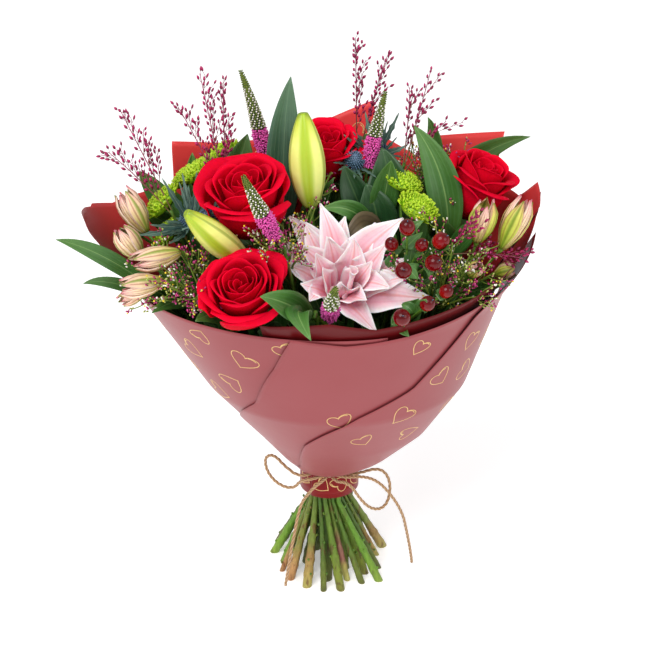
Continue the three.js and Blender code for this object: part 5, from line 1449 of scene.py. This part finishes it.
def thistle_head(piece, place, dice):
    """Spiny cone with a ring of narrow toothed bracts below it."""
    lathe(piece, [(0, 3), (4, 6), (8, 6.6), (11, 4.5), (13, 1.5)], 14, "thistle", place, 0.2)
    spines, bracts = 150, 11
    for k in range(spines):
        share = (k + 0.5) / spines
        out = on_ball(math.acos(1 - 1.35 * share), k * GOLDEN)
        root = Vector((out.x * 5.6, out.y * 5.6, 6 + out.z * 6))
        tip = root + out * dice.uniform(2.6, 4)
        spindle(piece, place @ root, place @ tip, 0.55, "thistle", dice.random(), 4, (0.3, 0.6))
    for k in range(bracts):
        turn, long = TAU * k / bracts + dice.uniform(-0.2, 0.2), dice.uniform(15, 22)

        def point(u, v, turn=turn, long=long):
            tooth = 1.5 if round(12 * v) % 3 == 1 else 0.8
            half = 1.5 * max(math.sin(math.pi * (0.12 + 0.86 * v)), 0.05) * tooth
            rise = 2 + 0.45 * long * v - 0.2 * long * v * v + 0.4 * abs(u)
            return Matrix.Rotation(turn, 3, "Z") @ Vector((4 + long * v, half * u, rise))

        blade(piece, point, 4, 12, 0.4, "thistle_leaf", dice.random(), place)


def grow_eryngium(piece, key):
    head, axis = head_of(key)
    base = head - axis * 1.5
    place = stand_on(base, axis)
    dice = random.Random(key)
    thistle_head(piece, place, dice)
    for side_head in ERYNGIUM_SIDE_HEADS.get(key, []):
        middle = Vector(side_head)
        line = bezier(head - axis * 12, head.lerp(middle, 0.7) - axis * 14, middle, 8)
        shoot(piece, line, 1.0, 7, "stem_bright", 0.3)
        thistle_head(piece, stand_on(middle, axis + Vector((0, -0.5, 0))), dice)
    start = base + axis * 3
    for tip in ERYNGIUM_BRACTS[key]:
        for side in (-1, 0, 1):
            tips = Vector(tip).lerp(start, 0 if side == 0 else 0.35) + scattered(dice, 9) * abs(side)
            corner = start.lerp(tips, 0.5) - axis * 5
            spine = bezier(start, corner, tips, 14)
            width = 5.5 if side == 0 else 3.6

            def point(u, v, spine=spine, width=width):
                at, across, lift = along_spine(spine, v, Vector((0, -0.8, 0.6)))
                tooth = 1.25 if round(14 * v) % 3 == 1 else 0.75
                half = width / 2 * max(math.sin(math.pi * (0.15 + 0.83 * v)), 0.05) * tooth
                return at + across * half * u + lift * 0.5 * half * abs(u)

            blade(piece, point, 4, 14, 0.45, "thistle_leaf", dice.random())


# ------------------------------------------------------------------ hypericum
# berries: middle and radius
BERRIES = {
    "hypericum_upper": [(59, -95, 372, 6.2), (86, -85, 356, 6.6), (56, -113, 344, 6.6), (80, -97, 343, 6.6),
                        (71, -88, 354, 5.2), (48, -82, 352, 5.4)],
    "hypericum_lower": [(75, -117, 318, 6), (55, -127, 311, 6.8), (90, -104, 322, 5.4)]}


def grow_berries(piece, key):
    dice = random.Random(key)
    for k, (x, y, z, radius) in enumerate(BERRIES[key]):
        start, centre = branch_foot(key, k), Vector((x, y, z))
        out = (centre - start).normalized()
        shoot(piece, bezier(start, start.lerp(centre, 0.5) - UP * 3, centre, 6), 0.8, 7, "stem_bright", 0.4)
        place = stand_on(centre, out)
        profile, steps = [], 14
        for s in range(steps + 1):
            angle = math.pi * s / steps
            profile.append((-1.12 * radius * math.cos(angle), radius * max(math.sin(angle), 0.05)))
        lathe(piece, profile, 20, "berry", place, dice.random())
        tip = place @ Vector((0.6, 0, radius * 1.12 + 2))
        spindle(piece, place @ Vector((0, 0, radius)), tip, 0.4, "thistle", 0.1)
        for s in range(5):

            def point(u, v, turn=TAU * s / 5, radius=radius):
                r = radius * (0.2 + 0.8 * v)
                z = -1.14 * radius + 0.55 * radius * v * v - 0.3
                half = radius * 0.34 * max(math.sin(math.pi * (0.15 + 0.83 * v)), 0.06)
                return Matrix.Rotation(turn, 3, "Z") @ Vector((r, half * u, z))

            blade(piece, point, 4, 6, 0.35, "leaf", 0.8, place, under="leaf_under")
        for share in (0.5, 0.8):
            low = start.lerp(centre, share)
            leaf(piece, low, low + out * 6 + scattered(dice, 5), low + out * 8 + scattered(dice, 13), 10,
                 dice.random(), along=10)


# ------------------------------------------------------------------ panicum
# tips of the branches of each spray
PANICUM = {
    "panicum_far_left": [(-168, 10, 428), (-178, -4, 398)],
    "panicum_left": [(-104, 20, 456), (-86, 26, 446), (-122, 14, 430)],
    "panicum_centre": [(21, 40, 479), (47, 50, 460)],
    "panicum_right": [(83, 40, 453), (66, 44, 436), (96, 30, 412)],
    "panicum_far_right": [(156, -44, 322), (110, -62, 362)]}


def grain_line(piece, line, dice, first, spacing):
    """Grains on short stalks along both sides of a line, from the share first of its length on."""
    total, gone, since, side = line_length(line), 0.0, 0.0, 1
    for a, b in zip(line, line[1:]):
        step = (b - a).length
        gone += step
        since += step
        if gone / total < first or since < spacing:
            continue
        since = 0.0
        run = (b - a).normalized()
        out = (run.orthogonal() * side + scattered(dice, 0.8)).normalized()
        side = -side
        root = b + (run * 0.9 + out * 0.8) * dice.uniform(1.2, 3.0)
        shoot(piece, [b, root], 0.22, 3, "panicle_stalk", 0.5)
        tip = root + (run * 1.1 + out * 0.45).normalized() * dice.uniform(3.8, 5.6)
        spindle(piece, root, tip, 1.15, "panicle", dice.random(), 4, (0.3, 0.6))


def grow_panicum(piece, key):
    head, axis = head_of(key)
    dice = random.Random(key)
    twigs = 3 if key == "panicum_right" else 7
    for k, tip in enumerate(PANICUM[key]):
        tip = Vector(tip)
        line = bezier(branch_foot(key, k), head.lerp(tip, 0.45) + axis * 8, tip, 40)
        shoot(piece, line[::2], lambda t: lerp(0.65, 0.3, t), 5, "panicle_stalk", dice.random())
        grain_line(piece, line, dice, first=0.35, spacing=2.6)
        for number in range(twigs):
            at = 10 + 28 * number // twigs
            foot, run = line[at], (line[at + 1] - line[at]).normalized()
            out = square_to(run.orthogonal() + scattered(dice, 1.2), run)
            reach = dice.uniform(14, 26) * (1.1 - 0.6 * number / 7)
            corner = foot + run * 0.5 * reach + out * 0.25 * reach
            twig = bezier(foot, corner, foot + run * reach + out * 0.5 * reach, 12)
            shoot(piece, twig[::3], 0.25, 4, "panicle_stalk", dice.random())
            grain_line(piece, twig, dice, first=0.2, spacing=2.3)


# ------------------------------------------------------------------ limonium
# tips of the branches of each spray
LIMONIUM = {
    "limonium_left": [
        (-128, -94, 322), (-104, -108, 318), (-148, -88, 308), (-141, -70, 331), (-123, -86, 326),
        (-113, -60, 330), (-101, -50, 332), (-91, -100, 314), (-135, -50, 336), (-76, -70, 334)],
    "limonium_centre": [
        (-46, -84, 352), (-58, -66, 352), (-29, -60, 346), (-23, -78, 338), (-37, -50, 356), (-9, 0, 362),
        (1, 14, 372), (-52, -85, 336)],
    "limonium_right": [
        (108, -78, 330), (128, -66, 318), (118, -86, 308), (66, -50, 344), (84, -40, 352), (98, -50, 340),
        (112, -55, 330), (87, -75, 326), (128, -42, 334), (71, -88, 322), (48, -70, 336)],
    "limonium_rear_right": [
        (76, 44, 372), (85, 54, 374), (105, 40, 370), (93, 35, 364), (118, 50, 370), (65, 48, 376),
        (124, 40, 360), (98, 20, 352)]}
FLORET_SKINS = ("filler_floret",) * 4 + ("filler_sprig",) * 3 + ("white_bud",)
YELLOW_SHARE = 0.09  # of the florets


def floret_cluster(piece, place, run, dice, size):
    """Florets that point about along run, a few with a yellow tip."""
    for _ in range(size):
        out = (run * 0.9 + scattered(dice, 0.9)).normalized()
        root = place + scattered(dice, 2.4)
        skin = dice.choice(FLORET_SKINS)
        spindle(piece, root, root + out * dice.uniform(2.4, 4.2), 0.72, skin, dice.random(), 4, (0.4, 0.8))
        if dice.random() < YELLOW_SHARE:
            spindle(piece, root + out * 3.6, root + out * 5.4, 0.75, "yellow_dot", dice.random(), 5)


def grow_limonium(piece, key):
    head, axis = head_of(key)
    dice = random.Random(key)
    for k, tip in enumerate(LIMONIUM[key]):
        tip = Vector(tip)
        line = bezier(branch_foot(key, k), head.lerp(tip, 0.5) + axis * 6, tip, 24)
        shoot(piece, line[::2], lambda t: lerp(1.1, 0.5, t), 6, "filler_stalk", dice.random())
        for at in range(6, 24, 2):
            foot, run = line[at], (line[at] - line[at - 1]).normalized()
            out = square_to(scattered(dice, 1.0), run)
            reach = dice.uniform(9, 18)
            corner = foot + run * 0.3 * reach + out * 0.5 * reach
            twig = bezier(foot, corner, foot + run * 0.9 * reach + out * 0.7 * reach, 6)
            shoot(piece, twig, 0.45, 4, "filler_stalk", dice.random())
            floret_cluster(piece, twig[-1], (twig[-1] - twig[-2]).normalized(), dice, size=6)
            floret_cluster(piece, twig[3], run, dice, size=2)
        floret_cluster(piece, tip, (line[-1] - line[-2]).normalized(), dice, size=5)


# ------------------------------------------------------------------ every stem with what grows on it
# slot of each kind of stem and what grows on it besides leaves
KINDS = {
    "alstroemeria": ("cream_petal", grow_alstroemeria), "chrysanthemum": ("lime_floret", grow_chrysanthemum),
    "veronica": ("magenta_floret", grow_veronica), "eryngium": ("thistle", grow_eryngium),
    "hypericum": ("berry", grow_berries), "panicum": ("panicle", grow_panicum),
    "limonium": ("filler_floret", grow_limonium), "rose": ("woody_stem", grow_calyx),
    "foliage": ("leaf", None), "lily": ("woody_stem", grow_bud_stalks)}


zones = bloom_zones()
for key in STEMS:
    slot, grow = KINDS[key.split("_")[0]]
    piece = Piece()
    grow_stem(piece, key)
    grow_leaves(piece, key)
    grow_fillers(piece, key, zones)
    if grow:
        grow(piece, key)
    piece.build(f"{key}_spray", [node_of(key)])

for rose in ROSES:
    add_rose(rose)
add_lily()
for bud in LILY_BUDS:
    add_lily_bud(bud)
